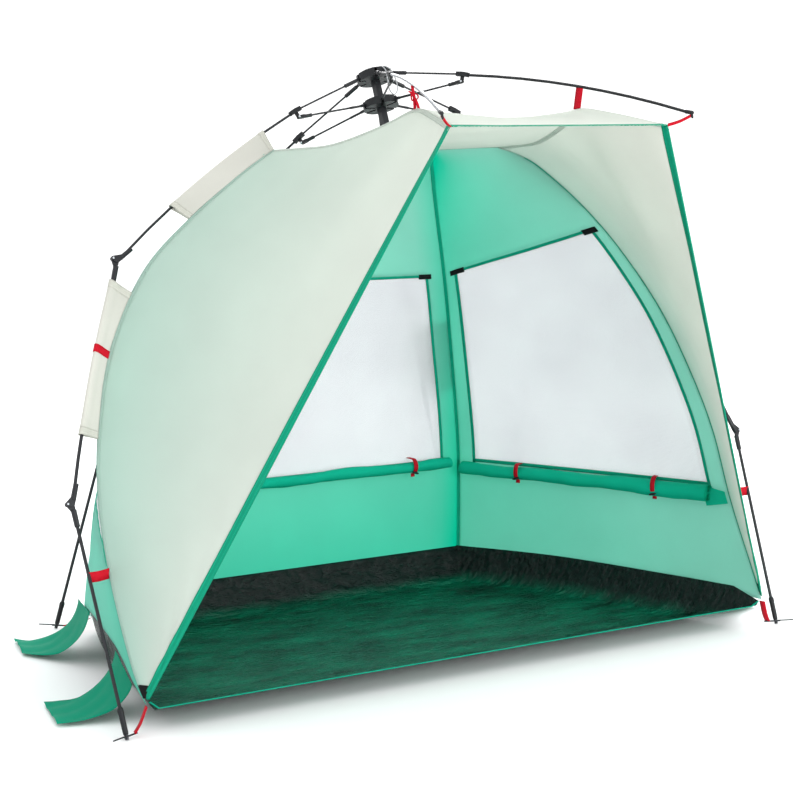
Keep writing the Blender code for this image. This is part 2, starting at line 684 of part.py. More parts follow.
def slant(across, down):
    """The rows of a side wall spread towards the front seam, most at the window's edges."""
    keys = [(0.0, 0.0), (WINDOW_TOP, SLANT[0]), (WINDOW_BOTTOM, SLANT[1]), (1.0, 0.0)]
    for (low, a), (high, b) in zip(keys, keys[1:]):
        if down <= high:
            return (a + (b - a) * (down - low) / (high - low)) * (1 - across)
    return 0.0


def side_point(across, down):
    """Side wall: across runs from the front seam to the back seam, down from roof to hem."""
    down += slant(across, down)
    point = FRONT_CURVE.at(down).lerp(BACK_CURVE.at(down), across)
    hem_shift = SIDE_HEM.at(across) - FLOOR_FRONT.lerp(FLOOR_BACK, across)
    return point + hem_shift * max(0.0, (down - 0.8) / 0.2)


def back_point(across, down):
    right = BACK_CURVE.at(down)
    point = mirror(right).lerp(right, across)
    crown = 0.012 * (1 - down) ** 4 * 4 * across * (1 - across)
    return point + Vector((0, 0, crown))


def window_margin(down, width, margins):
    share = min(1.0, max(0.0, (down - WINDOW_TOP) / (WINDOW_BOTTOM - WINDOW_TOP)))
    return min((margins[0] + (margins[1] - margins[0]) * share) / width, 0.25)


def wall_columns(surface, down, inner_cells, margins):
    """Shares across a wall: seam gap, window margin and the cells between the margins."""
    width = (surface(1.0, down) - surface(0.0, down)).length
    gap = SEAM_GAP / width
    margin = window_margin(down, width, margins)
    inner = [margin + (1 - 2 * margin) * k / inner_cells for k in range(inner_cells + 1)]
    return [gap] + inner + [1 - gap]


def wall_grid(surface, first, margins):
    last = 0.994
    rows = [min(max(down, first), last) for down in WALL_ROWS]
    return [[surface(across, down) for across in wall_columns(surface, down, INNER_CELLS, margins)]
            for down in rows]


def in_window(row, column):
    inside_rows = WALL_ROWS.index(WINDOW_TOP) <= row < WALL_ROWS.index(WINDOW_BOTTOM)
    return inside_rows and 1 <= column <= INNER_CELLS


def window_grid(surface, margins):
    edge = WINDOW_EDGE_GAP
    first, last = WALL_ROWS.index(WINDOW_TOP), WALL_ROWS.index(WINDOW_BOTTOM)
    grid = []
    for row in range(first, last + 1):
        down = WALL_ROWS[row]
        if row == first:
            down += edge
        if row == last:
            down -= edge
        width = (surface(1.0, down) - surface(0.0, down)).length
        columns = wall_columns(surface, down, INNER_CELLS, margins)[1:-1]
        columns[0] += edge / width
        columns[-1] -= edge / width
        grid.append([surface(across, down) for across in columns])
    return grid


def tube_along(points, radius, name, sides=8):
    bm = bmesh.new()
    rings = []
    for index, point in enumerate(points):
        heading = (points[min(index + 1, len(points) - 1)] - points[max(index - 1, 0)]).normalized()
        across = heading.cross(Vector((0, 0, 1))).normalized()
        other = heading.cross(across)
        ring = []
        for k in range(sides):
            turn = 2 * pi * k / sides
            ring.append(bm.verts.new(point + (across * cos(turn) + other * sin(turn)) * radius))
        rings.append(ring)
    for low, high in zip(rings, rings[1:]):
        for k in range(sides):
            bm.faces.new((low[k], low[(k + 1) % sides], high[(k + 1) % sides], high[k]))
    bm.faces.new(rings[0])
    bm.faces.new(rings[-1])
    return mesh_from(bm, name)


def blind(surface, level, inward, name):
    """A rolled blind just under the window, on the inner face of its wall."""
    off = BLIND_RADIUS + CLOTH + 0.004
    points = []
    for k in range(9):
        across = 0.085 + 0.83 * k / 8
        point = surface(across, level)
        points.append(point + inward(point) * off)
    return tube_along(points, BLIND_RADIUS, name)


def wall_pieces():
    def cloth(row, column):
        return not in_window(row, column)

    wall = sheet_solid(wall_grid(back_point, 0.010, BACK_MARGINS), "back", cloth)
    add_node("back_wall", wall, "green_fabric")
    pane = sheet_solid(window_grid(back_point, BACK_MARGINS), "window")
    add_node("back_window", pane, "mesh_grey")
    roll = blind(back_point, BACK_BLIND_LEVEL, lambda p: Vector((0, -1, 0)), "blind")
    add_node("back_blind", roll, "dark_green")
    for side, word in ((-1, "left"), (1, "right")):
        def surface(across, down, side=side):
            point = side_point(across, down)
            return point if side > 0 else mirror(point)

        wall = sheet_solid(wall_grid(surface, 0.040, SIDE_MARGINS), "side", cloth)
        add_node("side_wall_" + word, wall, "green_fabric")
        pane = sheet_solid(window_grid(surface, SIDE_MARGINS), "window")
        add_node("side_window_" + word, pane, "mesh_grey")
        inward = Vector((-0.86 * side, -0.50, 0.10)).normalized()
        roll = blind(surface, SIDE_BLIND_LEVEL, lambda p: inward, "blind")
        add_node("side_blind_" + word, roll, "dark_green")


def wing_point(across, down):
    """Wing: across runs from the leg seam to the bound front edge, down from ridge to corner."""
    low = WING_CURVE.at(down).lerp(BINDING.at(down), across)
    straight = RIDGE_CURVE.at(0.0).lerp(RIDGE_CURVE.at(1.0), across)
    return low + (RIDGE_CURVE.at(across) - straight) * (1 - down) ** 3


def roof_seam(across):
    """Back edge of the front roof: straight along the back wall, then out to the shoulders."""
    x = SHOULDER.x * (2 * across - 1)
    out = (abs(x) - ROOF_SEAM_INNER.x) / (SHOULDER.x - ROOF_SEAM_INNER.x)
    if out > 0:
        return Vector((x, ROOF_SEAM_INNER.y, ROOF_SEAM_INNER.z)).lerp(Vector((x, SHOULDER.y, SHOULDER.z)), out)
    crown = 0.012 * (1 - (x / ROOF_SEAM_INNER.x) ** 2)
    return Vector((x, ROOF_SEAM_INNER.y, ROOF_SEAM_INNER.z + crown))


def roof_point(across, forward):
    """Front roof: across runs left to right, forward from the roof seam to the front hem."""
    right = RIDGE_CURVE.at(forward)
    left = mirror(right)
    bend = 4 * across * (1 - across)
    crest_sag = -0.030 * max(0.0, 1 - abs(forward - 0.62) / 0.38)
    seam_shift = roof_seam(across) - mirror(SHOULDER).lerp(SHOULDER, across)
    return left.lerp(right, across) + Vector((0, 0, crest_sag * bend)) + seam_shift * (1 - forward) ** 3


def white_pieces():
    grid = []
    for down in WING_ROWS:
        width = (wing_point(1.0, down) - wing_point(0.0, down)).length
        gap = min(SEAM_GAP / width, 0.2)
        grid.append([wing_point(gap + (1 - gap) * k / 7, down) for k in range(8)])
    for side, word in ((-1, "left"), (1, "right")):
        add_node("front_wing_" + word, sheet_solid(mirrored_grid(grid, side), "wing"), "white_fabric")
    roof = []
    for k in range(9):
        forward = 0.008 + 0.992 * k / 8
        width = (roof_point(1.0, forward) - roof_point(0.0, forward)).length
        gap = 2 * SEAM_GAP / width
        roof.append([roof_point(gap + (1 - 2 * gap) * j / 6, forward) for j in range(7)])
    add_node("front_roof", sheet_solid(roof, "roof"), "white_fabric")


def floor_height(side, depth):
    """The groundsheet lies flat in the middle and turns up at its edges.

    side runs from 0 at the middle to 1 at a side edge, depth from 0 at the front to 1 at the back.
    """
    front = max(0.0, 1 - depth / 0.27) ** 2 * 0.066
    back = max(0.0, (depth - 0.91) / 0.09) ** 3 * 0.112
    rim = 0.070 + 0.042 * min(1.0, depth / 0.08)
    edge = max(0.0, (side - 0.89) / 0.11) ** 3 * rim
    return max(front, back, edge)


def floor_piece():
    grid = []
    for share in FLOOR_ROWS:
        hem = SIDE_HEM.at(share)
        y = FLOOR_FRONT.y + 0.004 + (hem.y - FLOOR_FRONT.y) * FLOOR_DEPTH_SHARE
        half = hem.x - FLOOR_EDGE_INSET
        row = []
        for side in FLOOR_COLUMNS:
            row.append(Vector((half * side, y, floor_height(abs(side), share) + CLOTH / 2)))
        grid.append(row)
    add_node("floor_tub", sheet_solid(grid, "floor", upright=True), "floor_green")


def flap_pieces():
    """Sand flaps: strips sewn to the side hems that bend outwards down to the ground."""
    for place, corners in (("front", FLAP_FRONT), ("back", FLAP_BACK)):
        near_a, near_b, far_b, far_a = corners
        grid = []
        for k in range(7):
            share = k / 6
            drop = share ** 0.45
            row = []
            for j in range(4):
                across = j / 3
                near = near_a.lerp(near_b, across)
                far = far_a.lerp(far_b, across)
                point = near.lerp(far, 0.03 + 0.97 * share)
                point.z = near.z + (far.z - near.z) * drop
                row.append(point)
            grid.append(row)
        for side, word in ((-1, "left"), (1, "right")):
            flap = sheet_solid(mirrored_grid(grid, side), "flap")
            add_node("sand_flap_" + place + "_" + word, flap, "dark_green")


def main():
    clear_scene()
    hub_pieces()
    lower_hub_pieces()
    arm_pieces()
    wall_pieces()
    white_pieces()
    floor_piece()
    flap_pieces()


main()
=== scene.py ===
"""Looks of the pop up beach tent: cloth, tapes, straps, blinds and finishes round the fixed frame.

Metres, +Z up. The cloth is built from the tent's seam curves, which are given from the ground and
from the line of the front feet, and each finished mesh moves ORIGIN_BACK forward into the frame.
The right half is built first and the left half is its mirror, with creases of its own.
"""
import json
from bisect import bisect_right
from math import atan2, cos, exp, pi, radians, sin, sqrt
import bpy
import bmesh
from mathutils import Matrix, Vector, noise

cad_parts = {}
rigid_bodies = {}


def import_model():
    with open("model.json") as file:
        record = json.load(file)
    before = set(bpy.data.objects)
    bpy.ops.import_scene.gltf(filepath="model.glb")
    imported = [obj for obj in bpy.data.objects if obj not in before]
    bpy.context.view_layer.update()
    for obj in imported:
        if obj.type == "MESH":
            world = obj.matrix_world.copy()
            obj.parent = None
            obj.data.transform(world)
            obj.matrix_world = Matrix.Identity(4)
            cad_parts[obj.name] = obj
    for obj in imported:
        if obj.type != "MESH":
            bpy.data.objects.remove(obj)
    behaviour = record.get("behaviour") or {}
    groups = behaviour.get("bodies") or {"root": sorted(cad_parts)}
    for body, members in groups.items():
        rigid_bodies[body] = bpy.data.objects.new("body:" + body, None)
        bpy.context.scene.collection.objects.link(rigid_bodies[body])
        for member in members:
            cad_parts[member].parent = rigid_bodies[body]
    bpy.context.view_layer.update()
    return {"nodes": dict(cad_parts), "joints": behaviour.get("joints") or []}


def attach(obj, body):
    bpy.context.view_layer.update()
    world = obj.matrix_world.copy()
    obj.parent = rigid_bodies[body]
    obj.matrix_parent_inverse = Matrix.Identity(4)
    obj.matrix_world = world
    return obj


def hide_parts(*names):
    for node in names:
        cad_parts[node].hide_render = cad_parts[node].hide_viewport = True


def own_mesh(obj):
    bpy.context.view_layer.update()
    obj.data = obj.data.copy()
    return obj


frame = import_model()

# ---- the frame's own dimensions, as the solids have them
ORIGIN_BACK = 0.600
HUB = Vector((0.0, 0.572, 1.700))
HUB_TILT = radians(22.0)
ARM_AZIMUTH = {"eave": 26.5, "front": 95.5, "back": 148.0}
ELBOW = (0.285, 0.094)
EAVE_TIP = (0.936, 0.448)
UPPER_KNUCKLE = {"front": (0.918, 0.507), "back": (0.900, 0.430)}
LOWER_KNUCKLE = {"front": (1.172, 1.161), "back": (1.134, 0.769)}
FOOT_OUT = {"front": 1.143, "back": 1.456}
EAVE_BOW = 0.020
FOOT_BAR_LEVEL = 0.0105
UPPER_BOW = 0.020
MIDDLE_BOW = 0.012
UPPER_RADIUS = 0.0038
MIDDLE_RADIUS = 0.0050
CLIP_REACH = 0.0204
KNUCKLE_CLEAR = 0.011

# ---- the seams of the cloth, right side
EAVE_CORNER = Vector((0.364, -0.332, 1.565))
FLOOR_FRONT = Vector((1.079, 0.008, 0.083))
FLOOR_BACK = Vector((0.700, 1.120, 0.045))
SIDE_ARCH = [(1.045, 0.147, 0.092), (1.000, 0.340, 0.100), (0.876, 0.782, 0.098)]
LEFT_ARCH = [(1.045, 0.147, 0.106), (1.000, 0.340, 0.158), (0.876, 0.782, 0.168)]
ROOF_SEAM_INNER = Vector((0.186, 0.545, 1.485))
SHOULDER = Vector((0.398, 0.490, 1.492))
FRONT_SEAM = [SHOULDER, (0.480, 0.455, 1.458), (0.565, 0.447, 1.405), (0.700, 0.446, 1.305),
              (0.843, 0.441, 1.170), (0.971, 0.391, 0.977), (1.045, 0.325, 0.780),
              (1.085, 0.255, 0.590), (1.092, 0.175, 0.380), (1.090, 0.070, 0.180), FLOOR_FRONT]
BACK_SEAM = [ROOF_SEAM_INNER, (0.225, 0.600, 1.450), (0.310, 0.705, 1.335), (0.470, 0.880, 1.069),
             (0.578, 1.000, 0.855), (0.668, 1.080, 0.510), (0.695, 1.110, 0.300), FLOOR_BACK]
RIDGE = [SHOULDER, (0.376, 0.400, 1.498), (0.352, 0.245, 1.512), (0.310, 0.070, 1.562),
         (0.276, -0.045, 1.608), (0.307, -0.160, 1.598), EAVE_CORNER]
SIDE_MARGINS = (0.042, 0.065)
BACK_MARGINS = (0.072, 0.072)
WINDOW_TOP = 0.355
WINDOW_BOTTOM = 0.781
SLANT = (-0.015, 0.031)
SIDE_BLIND_LEVEL = 0.800
BACK_BLIND_LEVEL = 0.787
BLIND_RADIUS = 0.019
BLIND_TURNS = 8
BLIND_LIFT = 0.006
LOOSE_END_WIDTH = 0.075
FLAP_WIDTH = 0.21
FLOOR_EDGE_INSET = 0.012
FLOOR_DEPTH_SHARE = 0.988
# each flap: two corners on the hem, then two on the ground
FLAPS = {
    ("front", 1): ((1.046, 0.150, 0.086), (1.003, 0.340, 0.093),
                   (1.180, 0.425, 0.004), (1.240, 0.205, 0.004)),
    ("front", -1): ((1.046, 0.145, 0.100), (1.004, 0.325, 0.150),
                    (1.178, 0.422, 0.004), (1.239, 0.208, 0.004)),
    ("back", 1): ((0.822, 0.908, 0.072), (0.745, 1.110, 0.060),
                  (0.945, 1.157, 0.004), (1.000, 0.967, 0.004)),
    ("back", -1): ((0.900, 0.700, 0.168), (0.824, 0.930, 0.152),
                   (0.950, 1.132, 0.004), (1.003, 0.947, 0.004))}

# ---- cloth and trim
CLOTH = 0.0012
MESH_CLOTH = 0.0006
TAPE = 0.0028
WEBBING = 0.0018
SEAM_GAP = 0.0020
BINDING_WIDTH = 0.020
SEAM_TAPE_WIDTH = 0.012
WINDOW_TAPE_WIDTH = 0.010
SIDES = ((1, "right"), (-1, "left"))
# cells of a wall's mesh before, along and after its window, across and down
WALL_COUNTS = (4, 26, 4)
ROW_COUNTS = (18, 28, 14)
# arm, pole, and the shares of the pole where its sleeve starts and ends
SLEEVES = (("front", "upper", 0.155, 0.692), ("front", "middle", 0.065, 0.735),
           ("back", "middle", 0.10, 0.86))
UP = Vector((0, 0, 1))
HUB_UP = Vector((0.0, sin(HUB_TILT), cos(HUB_TILT)))
HUB_FRONT = Vector((0.0, -cos(HUB_TILT), sin(HUB_TILT)))


# ---- Curves and surfaces
def running_length(points):
    """How far along a line of points each one lies."""
    reach = [0.0]
    for a, b in zip(points, points[1:]):
        reach.append(reach[-1] + (b - a).length)
    return reach


class Curve:
    """A smooth curve through points, read by its share of length."""

    def __init__(self, points):
        self.points = [Vector(p) for p in points]
        steps = 16
        self.dense = []
        last = len(self.points) - 1
        for index in range(last):
            before = self.points[max(index - 1, 0)]
            a, b = self.points[index], self.points[index + 1]
            after = self.points[min(index + 2, last)]
            for k in range(steps):
                t = k / steps
                square = 2 * before - 5 * a + 4 * b - after
                cube = 3 * a - before - 3 * b + after
                self.dense.append(0.5 * (2 * a + (b - before) * t + square * t ** 2 + cube * t ** 3))
        self.dense.append(self.points[-1])
        self.reach = running_length(self.dense)
        self.length = self.reach[-1]

    def at(self, share):
        target = min(max(share, 0.0), 1.0) * self.length
        index = min(bisect_right(self.reach, target) - 1, len(self.dense) - 2)
        part = self.reach[index + 1] - self.reach[index]
        return self.dense[index].lerp(self.dense[index + 1], (target - self.reach[index]) / part)

    def nearest(self, point):
        """The share of the length that lies nearest to a point."""
        shares = [k / 400 for k in range(401)]
        return min(shares, key=lambda share: (self.at(share) - point).length)


def mirror(point):
    return Vector((-point.x, point.y, point.z))


BACK_CURVE = Curve(BACK_SEAM)
FRONT_CURVE = Curve([ROOF_SEAM_INNER] + FRONT_SEAM)
WING_CURVE = Curve(FRONT_SEAM)
BINDING = Curve([EAVE_CORNER, EAVE_CORNER.lerp(FLOOR_FRONT, 0.5), FLOOR_FRONT])
RIDGE_CURVE = Curve(RIDGE)
HEM = {side: Curve([FLOOR_FRONT] + arch + [FLOOR_BACK]) for side, arch in ((1, SIDE_ARCH), (-1, LEFT_ARCH))}


def slant(across, down):
    """The rows of a side wall spread towards the front seam, most at the window's edges."""
    keys = [(0.0, 0.0), (WINDOW_TOP, SLANT[0]), (WINDOW_BOTTOM, SLANT[1]), (1.0, 0.0)]
    for (low, a), (high, b) in zip(keys, keys[1:]):
        if down <= high:
            return (a + (b - a) * (down - low) / (high - low)) * (1 - across)
    return 0.0


def side_point(across, down, side=1):
    """Side wall: across runs from the front seam to the back seam, down from roof to hem.

    The left hem is pulled up further by its flaps than the right one.
    """
    down += slant(across, down)
    point = FRONT_CURVE.at(down).lerp(BACK_CURVE.at(down), across)
    hem_shift = HEM[side].at(across) - FLOOR_FRONT.lerp(FLOOR_BACK, across)
    return point + hem_shift * max(0.0, (down - 0.8) / 0.2)


def back_point(across, down):
    right = BACK_CURVE.at(down)
    crown = 0.012 * (1 - down) ** 4 * 4 * across * (1 - across)
    return mirror(right).lerp(right, across) + UP * crown


def wing_point(across, down):
    """Wing: across runs from the leg seam to the bound front edge, down from ridge to corner."""
    low = WING_CURVE.at(down).lerp(BINDING.at(down), across)
    straight = RIDGE_CURVE.at(0.0).lerp(RIDGE_CURVE.at(1.0), across)
    return low + (RIDGE_CURVE.at(across) - straight) * (1 - down) ** 3


def roof_seam(across):
    """Back edge of the front roof: straight along the back wall, then out to the shoulders."""
    x = SHOULDER.x * (2 * across - 1)
    inner = Vector((x, ROOF_SEAM_INNER.y, ROOF_SEAM_INNER.z))
    out = (abs(x) - ROOF_SEAM_INNER.x) / (SHOULDER.x - ROOF_SEAM_INNER.x)
    if out > 0:
        return inner.lerp(Vector((x, SHOULDER.y, SHOULDER.z)), out)
    return inner + UP * 0.012 * (1 - (x / ROOF_SEAM_INNER.x) ** 2)


def roof_point(across, forward):
    """Front roof: across runs left to right, forward from the roof seam to the front hem."""
    right = RIDGE_CURVE.at(forward)
    left = mirror(right)
    bend = 4 * across * (1 - across)
    crest_sag = -0.030 * max(0.0, 1 - abs(forward - 0.62) / 0.38)
    seam_shift = roof_seam(across) - mirror(SHOULDER).lerp(SHOULDER, across)
    return left.lerp(right, across) + UP * (crest_sag * bend) + seam_shift * (1 - forward) ** 3


def floor_height(side, depth):
    """The groundsheet lies flat in the middle and turns up at its edges; side runs from -1 to 1."""
    front = max(0.0, 1 - depth / 0.27) ** 2 * 0.066
    back = max(0.0, (depth - 0.91) / 0.09) ** 3 * 0.112
    rim = 0.080 + 0.034 * min(1.0, depth / 0.08)
    if side < 0:
        rim = max(rim, HEM[-1].at(depth).z + 0.004)
    edge = max(0.0, (abs(side) - 0.89) / 0.11) ** 3 * rim
    return max(front, back, edge)


def floor_point(across, depth):
    """Groundsheet: across runs left to right, depth from the front edge to the back wall."""
    side = 2 * across - 1
    hem = HEM[1].at(depth)
    y = FLOOR_FRONT.y + 0.004 + (hem.y - FLOOR_FRONT.y) * FLOOR_DEPTH_SHARE
    height = floor_height(side, depth) + CLOTH / 2 + 0.0006
    return Vector(((hem.x - FLOOR_EDGE_INSET) * side, y, height))


def ripple(point, size, seed, stretch=(1, 1, 1)):
    """Smooth noise from -1 to 1 with features about size across."""
    x, y, z = (point[k] * stretch[k] / size for k in range(3))
    return noise.noise(Vector((x + 17.3 * seed, y - 9.1 * seed, z + 4.7 * seed)))


def skin(surface, relief):
    """A surface with its creases: relief gives the height off it at (across, down, point)."""

    def point(across, down):
        step = 0.004
        here = surface(across, down)
        over = surface(min(across + step, 1), down) - surface(max(across - step, 0), down)
        below = surface(across, min(down + step, 1)) - surface(across, max(down - step, 0))
        normal = below.cross(over)
        if normal.length < 1e-12:
            return here
        return here + normal.normalized() * relief(across, down, here)

    return point


def sided(surface, side):
    return surface if side > 0 else (lambda across, down: mirror(surface(across, down)))


def edge_fade(across, down, reach=0.08):
    """0 on the edges of a surface and 1 inside it."""
    return min(1.0, max(0.0, min(across, 1 - across, down, 1 - down) / reach))


def width_at(surface, down):
    return max(0.02, (surface(1.0, down) - surface(0.0, down)).length)


def length_at(surface, across):
    return max(0.02, (surface(across, 1.0) - surface(across, 0.0)).length)


# ---- Materials
def colour(code):
    """Linear colour from a six digit sRGB code."""
    parts = [int(code[k:k + 2], 16) / 255 for k in (0, 2, 4)]
    return tuple(((c + 0.055) / 1.055) ** 2.4 if c > 0.04045 else c / 12.92 for c in parts) + (1.0,)


class Finish:
    """A material's node tree, with short calls to add and join nodes."""

    def __init__(self, name, roughness=0.7, metallic=0.0, specular=0.5):
        self.material = bpy.data.materials.new(name)
        self.material.use_nodes = True
        self.tree = self.material.node_tree
        self.shader = self.tree.nodes["Principled BSDF"]
        self.shader.inputs["Roughness"].default_value = roughness
        self.shader.inputs["Metallic"].default_value = metallic
        self.shader.inputs["Specular IOR Level"].default_value = specular

    def add(self, kind, settings=None, **inputs):
        """A node; an input's name has _ for each space."""
        node = self.tree.nodes.new(kind)
        for key, value in (settings or {}).items():
            setattr(node, key, value)
        for key, value in inputs.items():
            self.feed(node.inputs[key.replace("_", " ")], value)
        return node

    def feed(self, socket, value):
        if isinstance(value, bpy.types.NodeSocket):
            self.tree.links.new(value, socket)
        else:
            socket.default_value = value

    def paint(self, tone):
        self.feed(self.shader.inputs["Base Color"], tone)

    def mix(self, factor, a, b, blend="MIX"):
        node = self.add("ShaderNodeMix", {"data_type": "RGBA", "blend_type": blend})
        for index, value in ((0, factor), (6, a), (7, b)):
            self.feed(node.inputs[index], value)
        return node.outputs[2]

    def ramp(self, factor, low, high):
        """0 to 1 as the factor goes from low to high."""
        return self.add("ShaderNodeMapRange", Value=factor, From_Min=low, From_Max=high).outputs[0]

    def level(self, factor, low, high):
        """Low to high as the factor goes from 0 to 1."""
        return self.add("ShaderNodeMapRange", Value=factor, To_Min=low, To_Max=high).outputs[0]

    def tint(self, tone, factor, low, high):
        """Multiplies a colour by a value that runs from low to high with the factor."""
        return self.mix(1.0, tone, self.level(factor, low, high), "MULTIPLY")

    def gloss(self, factor, low, high):
        """Roughness that runs from low to high with the factor."""
        self.feed(self.shader.inputs["Roughness"], self.level(factor, low, high))

    def maths(self, operation, a, b=0.0):
        node = self.add("ShaderNodeMath", {"operation": operation})
        self.feed(node.inputs[0], a)
        self.feed(node.inputs[1], b)
        return node.outputs[0]

    def noise(self, scale, detail=2.0, vector=None, roughness=0.5):
        return self.add("ShaderNodeTexNoise", Scale=scale, Detail=detail, Roughness=roughness,
                        Vector=vector or self.place()).outputs["Fac"]

    def place(self):
        return self.add("ShaderNodeTexCoord").outputs["Object"]

    def cut(self):
        """Cloth coordinates in metres along and across the weave."""
        return self.add("ShaderNodeUVMap", {"uv_map": "weave"}).outputs["UV"]

    def shade(self):
        return self.add("ShaderNodeAttribute", {"attribute_name": "shade"}).outputs["Fac"]

    def threads(self, pitch, axis):
        """Bands a pitch apart along the cloth's X or Y."""
        bands = {"wave_type": "BANDS", "bands_direction": axis}
        return self.add("ShaderNodeTexWave", bands, Vector=self.cut(), Scale=0.16 / pitch,
                        Distortion=0.0).outputs["Fac"]

    def bump(self, height, strength, distance, normal=None):
        node = self.add("ShaderNodeBump", Height=height, Strength=strength, Distance=distance)
        if normal is not None:
            self.feed(node.inputs["Normal"], normal)
        self.feed(self.shader.inputs["Normal"], node.outputs["Normal"])
        return node.outputs["Normal"]

    def join(self, share, a, b):
        """Mixes two shaders into the material's surface."""
        mixer = self.add("ShaderNodeMixShader")
        for socket, value in zip(mixer.inputs, (share, a, b)):
            self.feed(socket, value)
        self.feed(self.tree.nodes["Material Output"].inputs["Surface"], mixer.outputs[0])
        return mixer.outputs[0]

    def glow_through(self, share, tint):
        """Lets light from the far side of thin cloth through."""
        back = self.add("ShaderNodeBsdfTranslucent", Color=tint)
        return self.join(share, self.shader.outputs["BSDF"], back.outputs["BSDF"])


def woven(name, pale, deep, through, crease=0.25):
    """Light coated polyester: a fine plain weave, cloudy tone and soft creases.

    The shade attribute runs from the pale colour at 0 to the deep one at 1; on the walls, wings, roof and
    sand flaps its deep end is painted shade and painted green light.
    """
    finish = Finish(name, roughness=0.74, specular=0.14)
    cloud = finish.ramp(finish.noise(3.2, 3.0), 0.30, 0.70)
    weave = finish.maths("MULTIPLY", finish.threads(0.0011, "X"), finish.threads(0.0011, "Y"))
    tone = finish.mix(finish.shade(), colour(pale), colour(deep))
    tone = finish.tint(tone, cloud, 0.955, 1.02)
    tone = finish.tint(tone, weave, 0.975, 1.03)
    finish.paint(tone)
    finish.gloss(finish.ramp(finish.noise(24.0), 0.2, 0.8), 0.66, 0.82)
    folds = finish.bump(finish.noise(9.0, 3.0), crease, 0.012)
    finish.bump(weave, 0.20, 0.0004, folds)
    finish.glow_through(through, tone)
    return finish.material


def webbing(name, code, rib=0.0022):
    """Narrow woven tape with ribs across it."""
    finish = Finish(name, roughness=0.66, specular=0.16)
    ribs = finish.threads(rib, "Y")
    tone = finish.tint(colour(code), ribs, 0.72, 1.0)
    finish.paint(finish.tint(tone, finish.noise(60.0, 3.0), 0.82, 1.12))
    finish.bump(ribs, 0.5, 0.0006)
    return finish.material


def stitched(name, code, thread_code, through=0.25):
    """Folded binding tape with two rows of stitches; cloth coordinates run 0 to 1 across it."""
    finish = Finish(name, roughness=0.70, specular=0.14)
    split = finish.add("ShaderNodeSeparateXYZ", Vector=finish.cut())
    row_a, row_b = (finish.maths("LESS_THAN", finish.maths("ABSOLUTE", finish.maths(
        "SUBTRACT", split.outputs["X"], middle)), 0.045) for middle in (0.24, 0.76))
    beat = finish.maths("FRACT", finish.maths("DIVIDE", split.outputs["Y"], 0.0042))
    rows = finish.maths("ADD", row_a, row_b)
    stitch = finish.maths("MULTIPLY", rows, finish.maths("LESS_THAN", beat, 0.66))
    ribs = finish.threads(0.0016, "Y")
    base = finish.tint(colour(code), ribs, 0.84, 1.02)
    base = finish.tint(base, finish.noise(45.0), 0.88, 1.10)
    tone = finish.mix(stitch, base, colour(thread_code))
    finish.paint(tone)
    finish.glow_through(through, tone)
    relief = finish.maths("ADD", finish.maths("MULTIPLY", ribs, 0.3), stitch)
    finish.bump(relief, 0.5, 0.0007, finish.bump(finish.noise(70.0), 0.3, 0.003))
    return finish.material


def window_mesh():
    """Open insect mesh: pale threads with holes between them."""
    finish = Finish("window_mesh", roughness=0.65, specular=0.25)
    threads = finish.maths("MAXIMUM", finish.threads(0.0016, "X"), finish.threads(0.0016, "Y"))
    clouds = finish.ramp(finish.noise(5.0, 3.0), 0.3, 0.7)
    tone = finish.mix(clouds, colour("DCDDE0"), colour("E2E4E6"))
    finish.paint(tone)
    finish.bump(threads, 0.3, 0.0004)
    cloth = finish.glow_through(0.5, tone)
    hole = finish.add("ShaderNodeBsdfTransparent").outputs["BSDF"]
    open_share = finish.maths("LESS_THAN", threads, 0.55)
    finish.join(finish.maths("MULTIPLY", open_share, 0.45), cloth, hole)
    return finish.material


def groundsheet():
    """Shiny crinkled film: dark green in the middle, black where it turns up into the walls."""
    finish = Finish("groundsheet", roughness=0.3, specular=0.24)
    place = finish.place()
    squeezed = finish.add("ShaderNodeMapping", Vector=place, Scale=(0.55, 1.7, 1.0)).outputs["Vector"]
    broad = finish.noise(7.0, 4.0, squeezed, 0.6)
    cell = finish.add("ShaderNodeTexVoronoi", {"feature": "F1"}, Scale=34.0, Vector=squeezed)
    facets = finish.noise(42.0, 5.0, squeezed, 0.65)
    body = finish.mix(finish.ramp(broad, 0.35, 0.65), colour("002E22"), colour("006C51"))
    tone = finish.mix(finish.shade(), body, colour("041311"))
    scuff = finish.ramp(finish.noise(90.0, 4.0, place, 0.7), 0.66, 0.82)
    finish.paint(finish.mix(finish.maths("MULTIPLY", scuff, 0.10), tone, colour("8FA39C")))
    finish.gloss(facets, 0.16, 0.42)
    large = finish.bump(broad, 0.6, 0.035)
    small = finish.bump(facets, 0.8, 0.016, large)
    finish.bump(cell.outputs["Distance"], 0.5, 0.010, small)
    return finish.material


def moulded(name, code):
    """Moulded nylon with a fine spark texture and slightly worn edges."""
    finish = Finish(name, roughness=0.5, specular=0.28)
    clouds = finish.noise(30.0)
    finish.paint(finish.tint(colour(code), clouds, 0.6, 1.5))
    finish.gloss(clouds, 0.40, 0.62)
    finish.bump(finish.noise(900.0, 3.0), 0.35, 0.0004)
    return finish.material


def painted_metal(name, code, roughness=0.38, metallic=0.15):
    """Powder coated tube: faint orange peel, streaks along it and a few rubbed spots."""
    finish = Finish(name, roughness=roughness, metallic=metallic, specular=0.38)
    rub = finish.ramp(finish.noise(55.0, 5.0, None, 0.7), 0.68, 0.82)
    tone = finish.tint(colour(code), finish.noise(14.0), 0.7, 1.4)
    finish.paint(finish.mix(finish.maths("MULTIPLY", rub, 0.12), tone, colour("9A9EA3")))
    finish.gloss(rub, roughness, roughness + 0.18)
    finish.bump(finish.noise(420.0), 0.25, 0.0003)
    return finish.material


def plain_floor():
    finish = Finish("stage_floor", roughness=0.9, specular=0.1)
    finish.paint(colour("F4F5F6"))
    return finish.material
